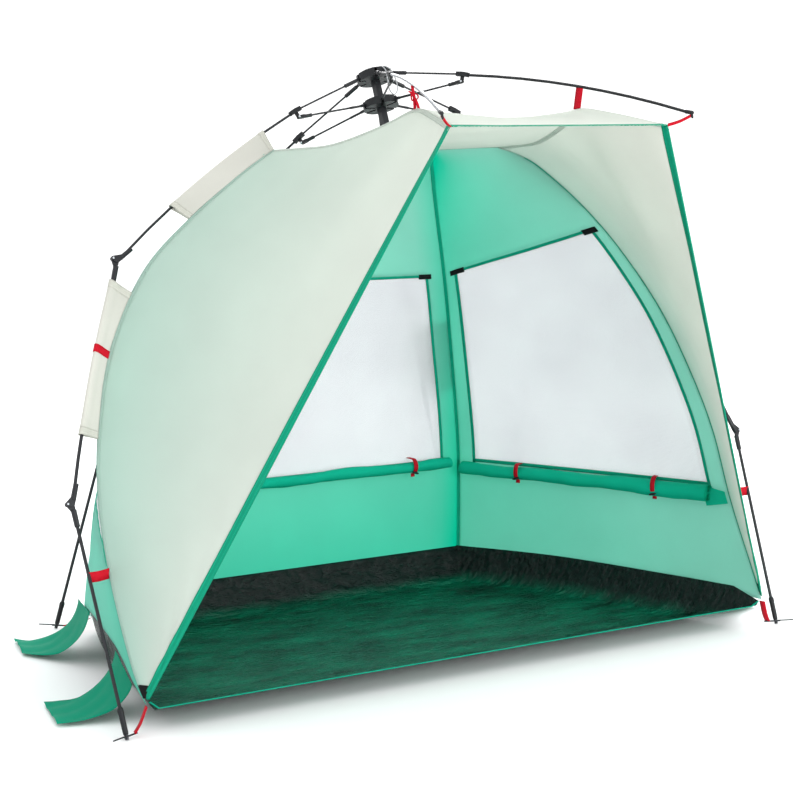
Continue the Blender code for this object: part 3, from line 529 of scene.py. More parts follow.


# The deep tones below are painted light: painted green bounce light on the white cloth, painted shade on the
# green walls and sand flaps.
WHITE = woven("white_cloth", "E6E7E1", "C9E0D6", through=0.50)
GREEN = woven("green_cloth", "B0DDD2", "00D6BA", through=0.55)
DARK_GREEN = woven("dark_green_cloth", "009C7C", "007A5C", through=0.15)
BLIND_CLOTH = woven("blind_cloth", "10D8B4", "00B492", through=0.30, crease=0.5)
SLEEVE = woven("sleeve_cloth", "D9D9D1", "C9CBC1", through=0.25, crease=0.35)
BINDING_TAPE = stitched("binding_tape", "058F6F", "14A381", through=0.1)
SEAM_TAPE = stitched("seam_tape", "0EB594", "24C4A6", through=0.35)
WHITE_SEAM = stitched("white_seam", "B4D2C6", "C9DFD5", through=0.4)
CREST_SEAM = stitched("crest_seam", "DDE6DE", "E8EEE8", through=0.5)
SLEEVE_HEM = stitched("sleeve_hem", "D3D4C9", "E2E2DA")
RED = webbing("red_webbing", "C00320")
CORD = webbing("grey_cord", "B4B7BA", 0.0015)
BLACK_TAPE = webbing("black_webbing", "0C0E10", 0.0018)
WINDOW = window_mesh()
GROUND = groundsheet()
PLASTIC = moulded("black_plastic_grain", "14171A")
POLE = painted_metal("black_pole_coat", "181A1E")
GREY_POLE = painted_metal("grey_pole_coat", "70757B", roughness=0.28, metallic=0.7)
STEEL = painted_metal("zinc_steel", "B6BABF", roughness=0.26, metallic=0.9)
DARK_STEEL = painted_metal("dark_steel", "26292C", roughness=0.36, metallic=0.6)
SLOTS = {"white_fabric": (WHITE, SLEEVE, WHITE_SEAM, CREST_SEAM, SLEEVE_HEM, CORD), "green_fabric": (GREEN,),
         "green_binding": (DARK_GREEN, BLIND_CLOTH, BINDING_TAPE, SEAM_TAPE), "red_webbing": (RED,),
         "black_plastic": (BLACK_TAPE, PLASTIC), "window_mesh": (WINDOW,), "groundsheet": (GROUND,),
         "steel": (STEEL, DARK_STEEL)}
SLOT_OF = {material.name: slot for slot, group in SLOTS.items() for material in group}


# ---- Mesh helpers
def put(name, data):
    """A new object in the scene."""
    thing = bpy.data.objects.new(name, data)
    bpy.context.scene.collection.objects.link(thing)
    return thing


def add_piece(name, mesh, material, body="root", stands_for=(), thickness=0.0, crumples=True):
    """Puts a mesh made in the cloth's frame into the part's frame as a piece on a body."""
    mesh.name = name
    mesh.transform(Matrix.Translation((0, -ORIGIN_BACK, 0)))
    mesh.materials.append(material)
    mesh.shade_smooth()
    piece = put(name, mesh)
    if thickness:
        solid = piece.modifiers.new("thickness", "SOLIDIFY")
        solid.thickness = thickness
        solid.offset = 0.0
    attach(piece, body)
    if stands_for:
        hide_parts(*stands_for)
    if body == "root" and crumples:
        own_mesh(piece)
    return piece


def grid_mesh(grid, shade=None, keep=None, closed=False, unit_across=False):
    """A mesh of quads from rows of points, with cloth coordinates in metres and a shade value."""
    rows, columns = len(grid), len(grid[0])
    middle_row, middle_column = grid[rows // 2], [row[columns // 2] for row in grid]
    across, down = running_length(middle_row), running_length(middle_column)
    if unit_across:
        across = [value / across[-1] for value in across]
    faces = []
    last = columns if closed else columns - 1
    for r in range(rows - 1):
        for c in range(last):
            if keep is None or keep(r, c):
                near, far, beside = r * columns, (r + 1) * columns, (c + 1) % columns
                faces.append((near + c, near + beside, far + beside, far + c))
    mesh = bpy.data.meshes.new("cloth")
    mesh.from_pydata([point for row in grid for point in row], [], faces)
    uv = mesh.uv_layers.new(name="weave")
    for loop in mesh.loops:
        r, c = divmod(loop.vertex_index, columns)
        uv.data[loop.index].uv = (across[c], down[r])
    tone = mesh.attributes.new("shade", "FLOAT", "POINT")
    for index in range(rows * columns):
        r, c = divmod(index, columns)
        tone.data[index].value = shade(r / (rows - 1), c / (columns - 1)) if shade else 0.0
    if keep is not None:
        bm = bmesh.new()
        bm.from_mesh(mesh)
        bmesh.ops.delete(bm, geom=[v for v in bm.verts if not v.link_faces], context="VERTS")
        bm.to_mesh(mesh)
        bm.free()
    return mesh


def spread(first, last, count):
    return [first + (last - first) * k / count for k in range(count + 1)]


def joined(keys, counts):
    """Values from key to key, with a count of even steps between each two."""
    values = []
    for a, b, count in zip(keys, keys[1:], counts):
        values += spread(a, b, count)[:-1]
    return values + [keys[-1]]


def on_side(rows, side):
    """Rows built for the right side, as they are or mirrored."""
    return rows if side > 0 else [[mirror(point) for point in row] for row in rows]


def turned(rows):
    return [list(column) for column in zip(*rows)]


def strip_down(surface, edge, inner, outer, first, last, steps, cells=3):
    """Rows of a tape that runs down a surface beside its edge (0 or 1), inner to outer metres in."""
    rows = []
    for down in spread(first, last, steps):
        width = width_at(surface, down)
        shares = [min(metres / width, 0.5) for metres in spread(outer, inner, cells)]
        rows.append([surface(share if edge == 0 else 1 - share, down) for share in shares])
    return rows


def strip_across(surface, level, up, below, first, last, steps, cells=3):
    """Rows of a tape that runs across a surface, from up metres above a level to below it."""
    rows = []
    for across in spread(first, last, steps):
        length = length_at(surface, across)
        rows.append([surface(across, min(max(level + metres / length, 0.0), 1.0))
                     for metres in spread(-up, below, cells)])
    return rows


def tape(name, rows, material, side=1, thickness=TAPE):
    add_piece(name, grid_mesh(on_side(rows, side), unit_across=True), material, thickness=thickness)


def flat_strap(name, points, across, width, side=1, thickness=WEBBING):
    """Red webbing along a list of points, with its width in one direction."""
    half = across.normalized() * width / 2
    tape(name, [[point - half + half * k for k in range(3)] for point in points], RED, side, thickness)


def cloth_panel(name, mesh, material, node, flat, rests_on, thickness=CLOTH):
    """A sewn panel that stands for a node of the frame."""
    panel = add_piece(name, mesh, material, stands_for=[node], thickness=thickness)


def cloth_area(rows):
    """Area of a grid of points in square metres."""
    total = 0.0
    for low, high in zip(rows, rows[1:]):
        for k in range(len(low) - 1):
            total += ((high[k + 1] - low[k]).cross(high[k] - low[k + 1])).length / 2
    return total


def smooth_line(points, steps):
    curve = Curve(points)
    return [curve.at(k / steps) for k in range(steps + 1)]


def tube(name, points, radii, material, body="root", sides=14, crumples=True):
    """Closed tube along points, with a radius for each."""
    across = (points[1] - points[0]).normalized().orthogonal().normalized()
    rows = []
    for index, (point, radius) in enumerate(zip(points, radii)):
        heading = (points[min(index + 1, len(points) - 1)] - points[max(index - 1, 0)]).normalized()
        across = (across - heading * across.dot(heading)).normalized()
        other = heading.cross(across)
        turns = [2 * pi * k / sides for k in range(sides)]
        rows.append([point + (across * cos(turn) + other * sin(turn)) * radius for turn in turns])
    mesh = grid_mesh(rows, closed=True)
    bm = bmesh.new()
    bm.from_mesh(mesh)
    bmesh.ops.holes_fill(bm, edges=[e for e in bm.edges if e.is_boundary], sides=0)
    bmesh.ops.recalc_face_normals(bm, faces=bm.faces)
    bm.to_mesh(mesh)
    bm.free()
    return add_piece(name, mesh, material, body, crumples=crumples)


# ---- Cloth panels
def wall_relief(seed):
    def relief(across, down, point):
        slow = ripple(point, 0.30, seed) * 0.0050
        fine = ripple(point, 0.075, seed + 3, (1, 1, 0.45)) * 0.0014
        return (slow + fine) * edge_fade(across, down)

    return relief


def wing_relief(seed):
    """Gentle folds that hang from the crest and fan out from the shoulder and the eave corner."""

    def relief(across, down, point):
        slow = ripple(point, 0.42, seed) * 0.0060
        fine = ripple(point, 0.10, seed + 5, (1, 1, 0.35)) * 0.0012
        crest = 0.0045 * sin(2 * pi * (3.2 * across + 0.7 * down)) * exp(-7 * down)
        corner = atan2(1 - down, 1.02 - across)
        fan = 0.0022 * sin(15 * corner) * exp(-5 * (1 - down))
        return (slow + fine + crest + fan) * edge_fade(across, down, 0.06)

    return relief


def roof_relief(across, down, point):
    slow = ripple(point, 0.22, 7) * 0.0050
    fine = ripple(point, 0.06, 8) * 0.0012
    return (slow + fine) * edge_fade(across, down)


def side_surface(side):
    return lambda across, down: side_point(across, down, side)


SIDE_SKIN = {side: sided(skin(side_surface(side), wall_relief(2 + side)), side) for side, word in SIDES}
RIGHT_WING = {side: skin(wing_point, wing_relief(11 + side)) for side, word in SIDES}
BACK_SKIN = skin(back_point, wall_relief(21))
ROOF_SKIN = skin(roof_point, roof_relief)


def window_margin(surface, down, margins):
    """Share of a wall's width between its seam and the window."""
    share = min(1.0, max(0.0, (down - WINDOW_TOP) / (WINDOW_BOTTOM - WINDOW_TOP)))
    return min((margins[0] + (margins[1] - margins[0]) * share) / width_at(surface, down), 0.25)


def wall_mesh(surface, margins, first, shade):
    """A wall with its window left out: a margin, the window and a margin each way."""
    grid = []
    for down in joined((first, WINDOW_TOP, WINDOW_BOTTOM, 0.9995), ROW_COUNTS):
        gap = min(SEAM_GAP / width_at(surface, down), 0.1)
        margin = window_margin(surface, down, margins)
        columns = joined((gap, margin, 1 - margin, 1 - gap), WALL_COUNTS)
        grid.append([surface(across, down) for across in columns])

    def keep(r, c):
        in_rows = ROW_COUNTS[0] <= r < ROW_COUNTS[0] + ROW_COUNTS[1]
        in_columns = WALL_COUNTS[0] <= c < WALL_COUNTS[0] + WALL_COUNTS[1]
        return not (in_rows and in_columns)

    return grid_mesh(grid, shade, keep)


def window_grid(surface, margins, lap=0.004):
    """The mesh pane reaches lap metres under the binding all round."""
    rows = []
    for down in spread(WINDOW_TOP - 0.003, WINDOW_BOTTOM + 0.003, 32):
        margin = window_margin(surface, down, margins) - lap / width_at(surface, down)
        rows.append([surface(across, down) for across in spread(margin, 1 - margin, 28)])
    return rows


def window_binding(tag, surface, margins):
    """Dark tape on the four edges of a window."""
    width = WINDOW_TAPE_WIDTH
    grid = {"front": [], "back": []}
    for down in spread(WINDOW_TOP - 0.006, WINDOW_BOTTOM + 0.006, 40):
        row_width = width_at(surface, down)
        margin = window_margin(surface, down, margins)
        shares = [margin + metres / row_width for metres in spread(-width * 0.7, width * 0.3, 3)]
        grid["front"].append([surface(share, down) for share in shares])
        grid["back"].append([surface(1 - share, down) for share in reversed(shares)])
    for edge in grid:
        tape("window_binding_%s_%s" % (edge, tag), grid[edge], SEAM_TAPE)
    for level, edge in ((WINDOW_TOP, "top"), (WINDOW_BOTTOM, "bottom")):
        margin = window_margin(surface, level, margins) - width * 0.6 / width_at(surface, level)
        rows = strip_across(surface, level, width * 0.7, width * 0.3, margin, 1 - margin, 40)
        tape("window_binding_%s_%s" % (edge, tag), rows, SEAM_TAPE, thickness=TAPE + 0.0004)


def wall_painted_shade(side):
    """Painted shade on a side wall: deep in the corner under the roof and towards the back seam, then paler
    towards the front seam, which gets more painted shade on the left wall.
    """
    def shade(r, c):
        corner = exp(-(r / 0.16 + (1 - c) / 0.34))
        front = 0.5 * (1 - c) ** 2 if side < 0 else 0.0
        return min(1.0, 0.08 + 0.34 * c + 0.95 * corner + front)

    return shade


def back_painted_shade(r, c):
    """Painted shade on the back wall: deeper towards the floor and beside the right-hand seam."""
    return min(1.0, 0.14 + 0.60 * r ** 2 + 0.40 * max(0.0, (c - 0.85) / 0.15))


def build_walls():
    plan = [("side", "_" + word, SIDE_SKIN[side], SIDE_MARGINS, 0.003, wall_painted_shade(side), (1.00, 1.80),
             (0.95, 0.85), ("front_" + word, "back_" + word)) for side, word in SIDES]
    plan.append(("back", "", BACK_SKIN, BACK_MARGINS, 0.002, back_painted_shade, (1.40, 1.70), (1.15, 0.72),
                 ("back_left", "back_right")))
    for place, tail, surface, margins, first, shade, wall_flat, window_flat, arms in plan:
        wall_node = place + "_wall" + tail
        cloth_panel(place + "_wall_cloth" + tail, wall_mesh(surface, margins, first, shade), GREEN, wall_node,
                    wall_flat, ["upper_pole_" + arm for arm in arms])
        cloth_panel(place + "_window_mesh" + tail, grid_mesh(window_grid(surface, margins)), WINDOW,
                    place + "_window" + tail, window_flat, [wall_node], thickness=MESH_CLOTH)
        window_binding(place + tail, surface, margins)


def wing_painted_light(side):
    """Painted green bounce light on the white wing: warm white by the bound edge, a painted mint tint where
    the green wall lies close behind the leg seam, and more of it on the left wing, which is lit differently.
    """
    def shade(r, c):
        painted_bounce = 0.90 * (1 - c) ** 1.5 * (0.35 + 0.65 * min(1.0, 1.6 * r + 0.25)) + 0.10 * r
        return min(1.0, painted_bounce + (0.14 if side < 0 else 0.0))

    return shade


def build_white_panels():
    for side, word in SIDES:
        surface = RIGHT_WING[side]
        rows = []
        for down in spread(0.001, 0.986, 90):
            gap = min(SEAM_GAP / width_at(wing_point, down), 0.05)
            rows.append([surface(across, down) for across in spread(gap, 1 - gap / 2, 44)])
        poles = ["upper_pole_front_" + word, "middle_pole_front_" + word]
        cloth_panel("front_wing_cloth_" + word, grid_mesh(on_side(rows, side), wing_painted_light(side)), WHITE,
                    "front_wing_" + word, (1.00, 1.95), poles)
        tape("wing_binding_" + word, strip_down(surface, 1, -0.0015, BINDING_WIDTH, 0.0, 0.991, 140, 8),
             BINDING_TAPE, side, 0.0042)
        tape("wing_seam_" + word, strip_down(surface, 0, -0.0005, 0.0080, 0.0, 0.985, 110), WHITE_SEAM, side)
        tape("crest_seam_" + word, strip_across(surface, 0.0, 0.0, 0.012, 0.0, 1.0, 60), CREST_SEAM, side)
    rows = [[ROOF_SKIN(across, forward) for across in spread(0.003, 0.997, 40)]
            for forward in spread(0.0, 1.0, 44)]
    # Painted green bounce light: the white roof's mint tint is deeper towards the roof seam by the back wall.
    cloth_panel("front_roof_cloth", grid_mesh(rows, lambda r, c: 0.10 + 0.25 * (1 - r)), WHITE, "front_roof",
                (1.00, 0.98), ["eave_pole_left", "eave_pole_right"])
    tape("front_hem", strip_across(ROOF_SKIN, 1.0, 0.014, 0.0, 0.0, 1.0, 60), BINDING_TAPE)
    tape("roof_seam", strip_across(ROOF_SKIN, 0.0, 0.0, 0.013, 0.0, 1.0, 60), WHITE_SEAM)


def build_wall_seams():
    """Tapes over the seams of each side wall: with the back wall, and down the leg in front."""
    for side, word in SIDES:
        rows = []
        for down in spread(0.004, 0.992, 110):
            here = BACK_CURVE.at(down)
            to_side = side_point(1 - 0.5 * SEAM_TAPE_WIDTH / width_at(side_point, down), down) - here
            to_back = back_point(1 - 0.5 * SEAM_TAPE_WIDTH / width_at(back_point, down), down) - here
            rows.append([here + to_side, here + to_side * 0.5, here, here + to_back * 0.5, here + to_back])
        tape("back_corner_tape_" + word, rows, SEAM_TAPE, side, thickness=TAPE + 0.0008)
        rows = strip_down(side_point, 0, 0.0, 0.004, 0.16, 0.985, 110)
        tape("front_seam_tape_" + word, rows, SEAM_TAPE, side, thickness=TAPE + 0.0004)


# ---- Floor and sand flaps
def floor_relief(across, depth, point):
    """Crinkles in the film, mostly running side to side, stronger where it turns up."""
    side = abs(2 * across - 1)
    upturn = min(1.0, max(0.0, (side - 0.86) / 0.06, (depth - 0.88) / 0.05, (0.10 - depth) / 0.10))
    fold = abs(ripple(point, 0.055, 51, (0.5, 1.5, 1))) * 0.0065
    fine = abs(ripple(point, 0.020, 52, (0.8, 1.3, 1))) * 0.0022
    bed = abs(ripple(point, 0.24, 53, (0.6, 1.2, 1))) * 0.0045
    return fold * (0.55 + 0.9 * upturn) + fine + bed * (1 - upturn)


def build_floor():
    depths = joined((0.0, 0.88, 1.0), (100, 40))
    shares = joined((0.0, 0.07, 0.93, 1.0), (30, 150, 30))

    def floor_shade(r, c):
        side = abs(2 * shares[round(c * (len(shares) - 1))] - 1)
        edge = max((side - 0.922) / 0.045, (depths[round(r * (len(depths) - 1))] - 0.932) / 0.035)
        return min(1.0, max(0.0, edge))

    rows = []
    for depth in depths:
        row = []
        for across in shares:
            point = floor_point(across, depth)
            inset = min(across, 1 - across, depth, 1 - depth) / 0.01
            row.append(point + UP * (floor_relief(across, depth, point) * min(1.0, inset)))
        rows.append(row)
    cloth_panel("groundsheet", grid_mesh(rows, floor_shade), GROUND, "floor_tub", (2.25, 1.30),
                ["side_wall_left"])
    rows = [[floor_point(across, 0.0) + Vector((0, metres, -0.0006 - metres * 0.35))
             for metres in (-0.002, 0.002, 0.007)] for across in spread(0.0, 1.0, 80)]
    tape("floor_front_hem", rows, SEAM_TAPE, thickness=0.0030)


def flap_grid(corners, seed, rows=36, columns=16):
    """A tongue that hangs nearly straight down at its root, then turns out onto the ground."""
    near_a, near_b, far_b, far_a = [Vector(corner) for corner in corners]
    grid = []
    for r in range(rows + 1):
        share = r / rows
        row = []
        for c in range(columns + 1):
            across = c / columns
            near = near_a.lerp(near_b, across)
            far = far_a.lerp(far_b, across)
            out = 0.02 + 0.98 * share ** 1.5
            point = near.lerp(far, out)
            point.z = far.z + (near.z - far.z) * (1 - share) ** 2.1
            wave = 0.0050 * sin(2 * pi * (1.3 * across + 0.8 * share) + seed) * (0.3 + share)
            curl = 0.010 * max(0.0, share - 0.75) / 0.25 * (0.4 + 0.6 * across)
            point.z = max(0.0016, point.z + abs(wave) + curl * max(0.0, ripple(point, 0.12, seed)) * 2)
            row.append(point)
        grid.append(row)
    return grid


def build_flaps():
    words = dict(SIDES)
    for (place, side), corners in FLAPS.items():
        grid = on_side(flap_grid(corners, 60 + side + len(place)), side)
        tag = "%s_%s" % (place, words[side])
        # Painted shade: the flap is deeper at its root by the hem and paler where it lies out on the ground.
        mesh = grid_mesh(grid, lambda r, c: 0.25 + 0.4 * (1 - r))
        flap = add_piece("sand_flap_cloth_" + tag, mesh, DARK_GREEN, stands_for=["sand_flap_" + tag],
                         thickness=CLOTH)
        cloth_area(grid) / FLAP_WIDTH


# ---- Blinds, toggles and tabs
def blind_radius(tag, across):
    """The side blinds are rolled looser towards the front seam."""
    return BLIND_RADIUS * (1.18 if tag == "back" else 1.15 + 0.50 * (1 - across))


def blind_grid(tag, surface, level, inward, first, last, seed):
    """A rolled length of cloth: a spiral section carried along under the window."""
    shares = spread(first, last, 64)
    stations = []
    for across in shares:
        sag = 0.003 + 0.004 * sin(pi * 3 * (across - first) / (last - first)) ** 2
        centre = surface(across, level - BLIND_LIFT) + inward * (blind_radius(tag, across) + 0.006)
        stations.append(centre - UP * sag)
    steps = BLIND_TURNS * 14
    rows = []
    for index, centre in enumerate(stations):
        heading = (stations[min(index + 1, len(stations) - 1)] - stations[max(index - 1, 0)]).normalized()
        up = (UP - heading * heading.z).normalized()
        out = heading.cross(up)
        ends = min(1.0, min(index, len(stations) - 1 - index) / 5)
        loose = 0.0022 * ripple(centre, 0.085, seed) + 0.0012 * ripple(centre, 0.03, seed + 1)
        radius = blind_radius(tag, shares[index])
        row = []
        for k in range(steps + 1):
            share = k / steps
            turn = 2 * pi * BLIND_TURNS * share - 0.6 * pi
            reach = 0.0035 + (radius - 0.0050) * share + (loose + 0.0016 * (1 - ends)) * share
            reach += 0.0016 * share * sin(2 * turn + 5 * ripple(centre, 0.14, seed + 2))
            row.append(centre + (out * cos(turn) + up * sin(turn) * 0.92) * reach)
        rows.append(row)
    return rows


def toggle(name, tag, surface, level, inward, across):
    """Red loop round a rolled blind, with a short black bar low on its front."""
    radius = blind_radius(tag, across)
    level -= BLIND_LIFT
    point = surface(across, level)
    ahead = (surface(across + 0.01, level) - surface(across - 0.01, level)).normalized()
    centre = point + inward * (radius + 0.006)
    loop = [surface(across, level - (radius + 0.002) / length_at(surface, across)) + inward * 0.005]
    for k in range(9):
        turn = radians(70 - 150 * k / 8)
        loop.append(centre + (inward * cos(turn) + UP * sin(turn)) * (radius + 0.0032))
    loop.append(centre + inward * 0.005 - UP * (radius + 0.014))
    flat_strap(name + "_loop", smooth_line(loop, 40), ahead, 0.015)
    top = centre + inward * (radius * 0.75 + 0.005) - UP * (radius * 0.75 + 0.004)
    line = [top + (ahead - UP * 0.3) * (-0.013 + 0.026 * k / 8) for k in range(9)]
    radii = [0.0038 * sqrt(max(0.08, 1 - (2 * k / 8 - 1) ** 4)) for k in range(9)]
    tube(name + "_bar", line, radii, PLASTIC)


def blind_flap(name, surface, level, inward, seed):
    """The loose end of a side blind, hanging flat between the roll and the front seam."""
    rows = []
    for k in range(15):
        share = k / 14
        row = []
        for across in spread(0.012, 0.085, 16):
            lift = 0.010 + 0.014 * (across / 0.085) + 0.004 * ripple(surface(across, level), 0.05, seed)
            drop = (share - 0.5) * (0.020 + 0.26 * across)
            row.append(surface(across, level + 0.002 + drop) + inward * lift)
        rows.append(row)
    flap = add_piece(name + "_loose_end", grid_mesh(rows, lambda r, c: 0.5), BLIND_CLOTH, thickness=CLOTH)
    cloth_area(rows) / LOOSE_END_WIDTH


def build_blinds():
    plan = [("back", BACK_SKIN, BACK_BLIND_LEVEL, Vector((0, -1, 0)), (0.155, 0.845), (0.042, 0.958), 71)]
    for side, word in SIDES:
        inward = Vector((-0.86 * side, -0.50, 0.10)).normalized()
        plan.append(("side_" + word, SIDE_SKIN[side], SIDE_BLIND_LEVEL, inward, (0.245, 0.750),
                     (0.060, 0.972), 73 + side))
    for tag, surface, level, inward, toggles, (first, last), seed in plan:
        name = ("back_blind" if tag == "back" else tag.replace("side_", "side_blind_"))
        grid = blind_grid(tag, surface, level, inward, first, last, seed)
        mesh = grid_mesh(grid, lambda r, c: 0.35 + 0.3 * sin(9 * c))
        roll = add_piece(name + "_roll", mesh, BLIND_CLOTH, stands_for=[name])
        if tag != "back":
            blind_flap(name, surface, level, inward, seed + 9)
        for index, across in enumerate(toggles):
            toggle("%s_tie_%d" % (name, index + 1), tag, surface, level, inward, across)


def build_tabs():
    """Black hook-and-loop tabs at the top corners of the windows."""
    plan = [("back_window_tab", BACK_SKIN, BACK_MARGINS)]
    plan += [("side_window_tab_" + word, SIDE_SKIN[side], SIDE_MARGINS) for side, word in SIDES]
    for name, surface, margins in plan:
        for edge in (0, 1):
            width = width_at(surface, WINDOW_TOP)
            margin = window_margin(surface, WINDOW_TOP, margins)
            near, far = margin - 0.020 / width, margin + 0.028 / width
            first, last = (near, far) if edge == 0 else (1 - far, 1 - near)
            rows = strip_across(surface, WINDOW_TOP, 0.010, 0.009, first, last, 8)
            tape("%s_%d" % (name, edge + 1), rows, BLACK_TAPE, thickness=0.0052)


# ---- Sleeves, ties and straps between cloth and poles
def right_frame(arm):
    """x out from the hub axis, y along the hinges, z up the hub axis, for a right-hand arm."""
    azimuth = radians(ARM_AZIMUTH[arm])
    out = HUB_FRONT * cos(azimuth) + Vector((1, 0, 0)) * sin(azimuth)
    return Matrix.Translation(HUB) @ Matrix((out, HUB_UP.cross(out), HUB_UP)).transposed().to_4x4()


def arm_point(profile_point):
    return Vector((profile_point[0], 0.0, -profile_point[1]))


def foot_point(arm):
    out = FOOT_OUT[arm]
    down = (HUB.z + out * cos(radians(ARM_AZIMUTH[arm])) * sin(HUB_TILT)) / cos(HUB_TILT)
    return (out, down)


def span(a, b):
    return sqrt((b[0] - a[0]) ** 2 + (b[1] - a[1]) ** 2)


def along(a, b, distance):
    share = distance / span(a, b)
    return (a[0] + (b[0] - a[0]) * share, a[1] + (b[1] - a[1]) * share)


def bowed(a, b, trim_a, trim_b, bow, share):
    """Profile point on a pole that is bowed outwards along a parabola."""
    start, end = along(a, b, trim_a), along(b, a, trim_b)
    length = span(start, end)
    normal = ((end[1] - start[1]) / length, -(end[0] - start[0]) / length)
    lift = bow * 4 * share * (1 - share)
    return (start[0] + (end[0] - start[0]) * share + normal[0] * lift,
            start[1] + (end[1] - start[1]) * share + normal[1] * lift)


def pole_line(arm, part, share):
    """Point on the centreline of a right-hand pole."""
    a, b, trim_a, trim_b, bow = {
        "upper": (ELBOW, UPPER_KNUCKLE.get(arm), CLIP_REACH, KNUCKLE_CLEAR + 0.004, UPPER_BOW),
        "middle": (UPPER_KNUCKLE.get(arm), LOWER_KNUCKLE.get(arm), KNUCKLE_CLEAR + 0.006,
                   KNUCKLE_CLEAR + 0.004, MIDDLE_BOW),
        "eave": (ELBOW, EAVE_TIP, CLIP_REACH, 0.022, EAVE_BOW)}[part]
    return right_frame(arm) @ arm_point(bowed(a, b, trim_a, trim_b, bow, share))


def sleeve(arm, part, first, last, side, word):
    """A flat pocket of cloth from the seam out to the pole, and round it."""
    upper = part == "upper"
    body = ("arm_%s_%s" if upper else "middle_leg_%s_%s") % (arm, word)
    name = "%s_sleeve_%s_%s" % (part, arm, word)
    radius = UPPER_RADIUS if upper else MIDDLE_RADIUS
    curve = WING_CURVE if arm == "front" else BACK_CURVE
    plane = right_frame(arm).to_3x3() @ Vector((0, 1, 0))
    seam_first, seam_last = (curve.nearest(pole_line(arm, part, end)) for end in (first, last))
    rows = []
    for share in spread(0, 1, 40):
        ring_radius = radius + 0.0020 + 0.0016 * abs(2 * share - 1) ** 6
        pole = pole_line(arm, part, first + (last - first) * share)
        seam = curve.at(seam_first + (seam_last - seam_first) * share)
        out = (pole - seam).normalized()
        lift = (plane - out * plane.dot(out)).normalized()
        pinch = pole - out * 0.012

        def web(t, face, seed):
            """Point on one face of the flat web, with t from the seam to the pole."""
            point = seam.lerp(pinch, t)
            belly = 0.0016 + 0.0012 * sin(pi * t) + 0.0014 * ripple(point, 0.06, seed + side)
            return point + lift * face * (belly + (ring_radius - 0.002) * t ** 4)

        reaches = spread(0, 1, 8)
        row = [web(t, 1, 81) for t in reaches]
        row += [pole + (lift * sin(turn) + out * cos(turn)) * ring_radius
                for turn in spread(pi / 2, -pi / 2, 10)]
        rows.append(row + [web(t, -1, 91) for t in reversed(reaches)])
    rows = on_side(rows, side)
    piece = add_piece(name, grid_mesh(rows, lambda r, c: 0.2 + 0.5 * abs(2 * r - 1) ** 4), SLEEVE, body,
                      thickness=0.0008)
    length = sum((a[14] - b[14]).length for a, b in zip(rows, rows[1:]))
    cloth_area(rows) / length
    for end, strip in (("top", rows[:3]), ("bottom", rows[-3:])):
        add_piece("%s_%s_hem" % (name, end), grid_mesh(turned(strip), unit_across=True), SLEEVE_HEM, body,
                  thickness=0.0020)
    return rows


def sleeve_band(rows, word):
    """Red band round the middle of a front leg's lower sleeve, just proud of it."""
    band = []
    for row in rows[17:20]:
        centre = sum(row, Vector()) / len(row)
        band.append([centre + (point - centre) * 1.02 for point in row])
    add_piece("middle_sleeve_band_" + word, grid_mesh(turned(band), unit_across=True), RED,
              "middle_leg_front_" + word, thickness=0.0034)


def build_sleeves():
    for side, word in SIDES:
        for arm, part, first, last in SLEEVES:
            rows = sleeve(arm, part, first, last, side, word)
            if (arm, part) == ("front", "middle"):
                sleeve_band(rows, word)


def knotted_strap(name, low, high):
    """A strap tied in a knot half way: two straight runs, the knot and its two short tails."""
    knot = low.lerp(high, 0.52) + Vector((-0.004, -0.004, 0))
    facing = Vector((-0.25, -1, 0.1)).normalized()
    aside = facing.cross(UP).normalized()
    runs = {"lower": [low, low.lerp(knot, 0.5), knot],
            "upper": [knot, knot.lerp(high, 0.5) + aside * 0.003, high + aside * 0.006],
            "turn": [knot + (aside * cos(turn) + UP * sin(turn)) * 0.010 + facing * 0.005 * cos(2 * turn)
                     for turn in spread(0.0, 2 * pi, 10)],
            "tail_1": [knot, knot + aside * 0.012 + UP * 0.014, knot + aside * 0.022 + UP * 0.016],
            "tail_2": [knot, knot - aside * 0.008 - UP * 0.016, knot - aside * 0.014 - UP * 0.034]}
    for part, line in runs.items():
        flat_strap("%s_%s" % (name, part), smooth_line(line, 16), facing if part == "turn" else aside, 0.008)


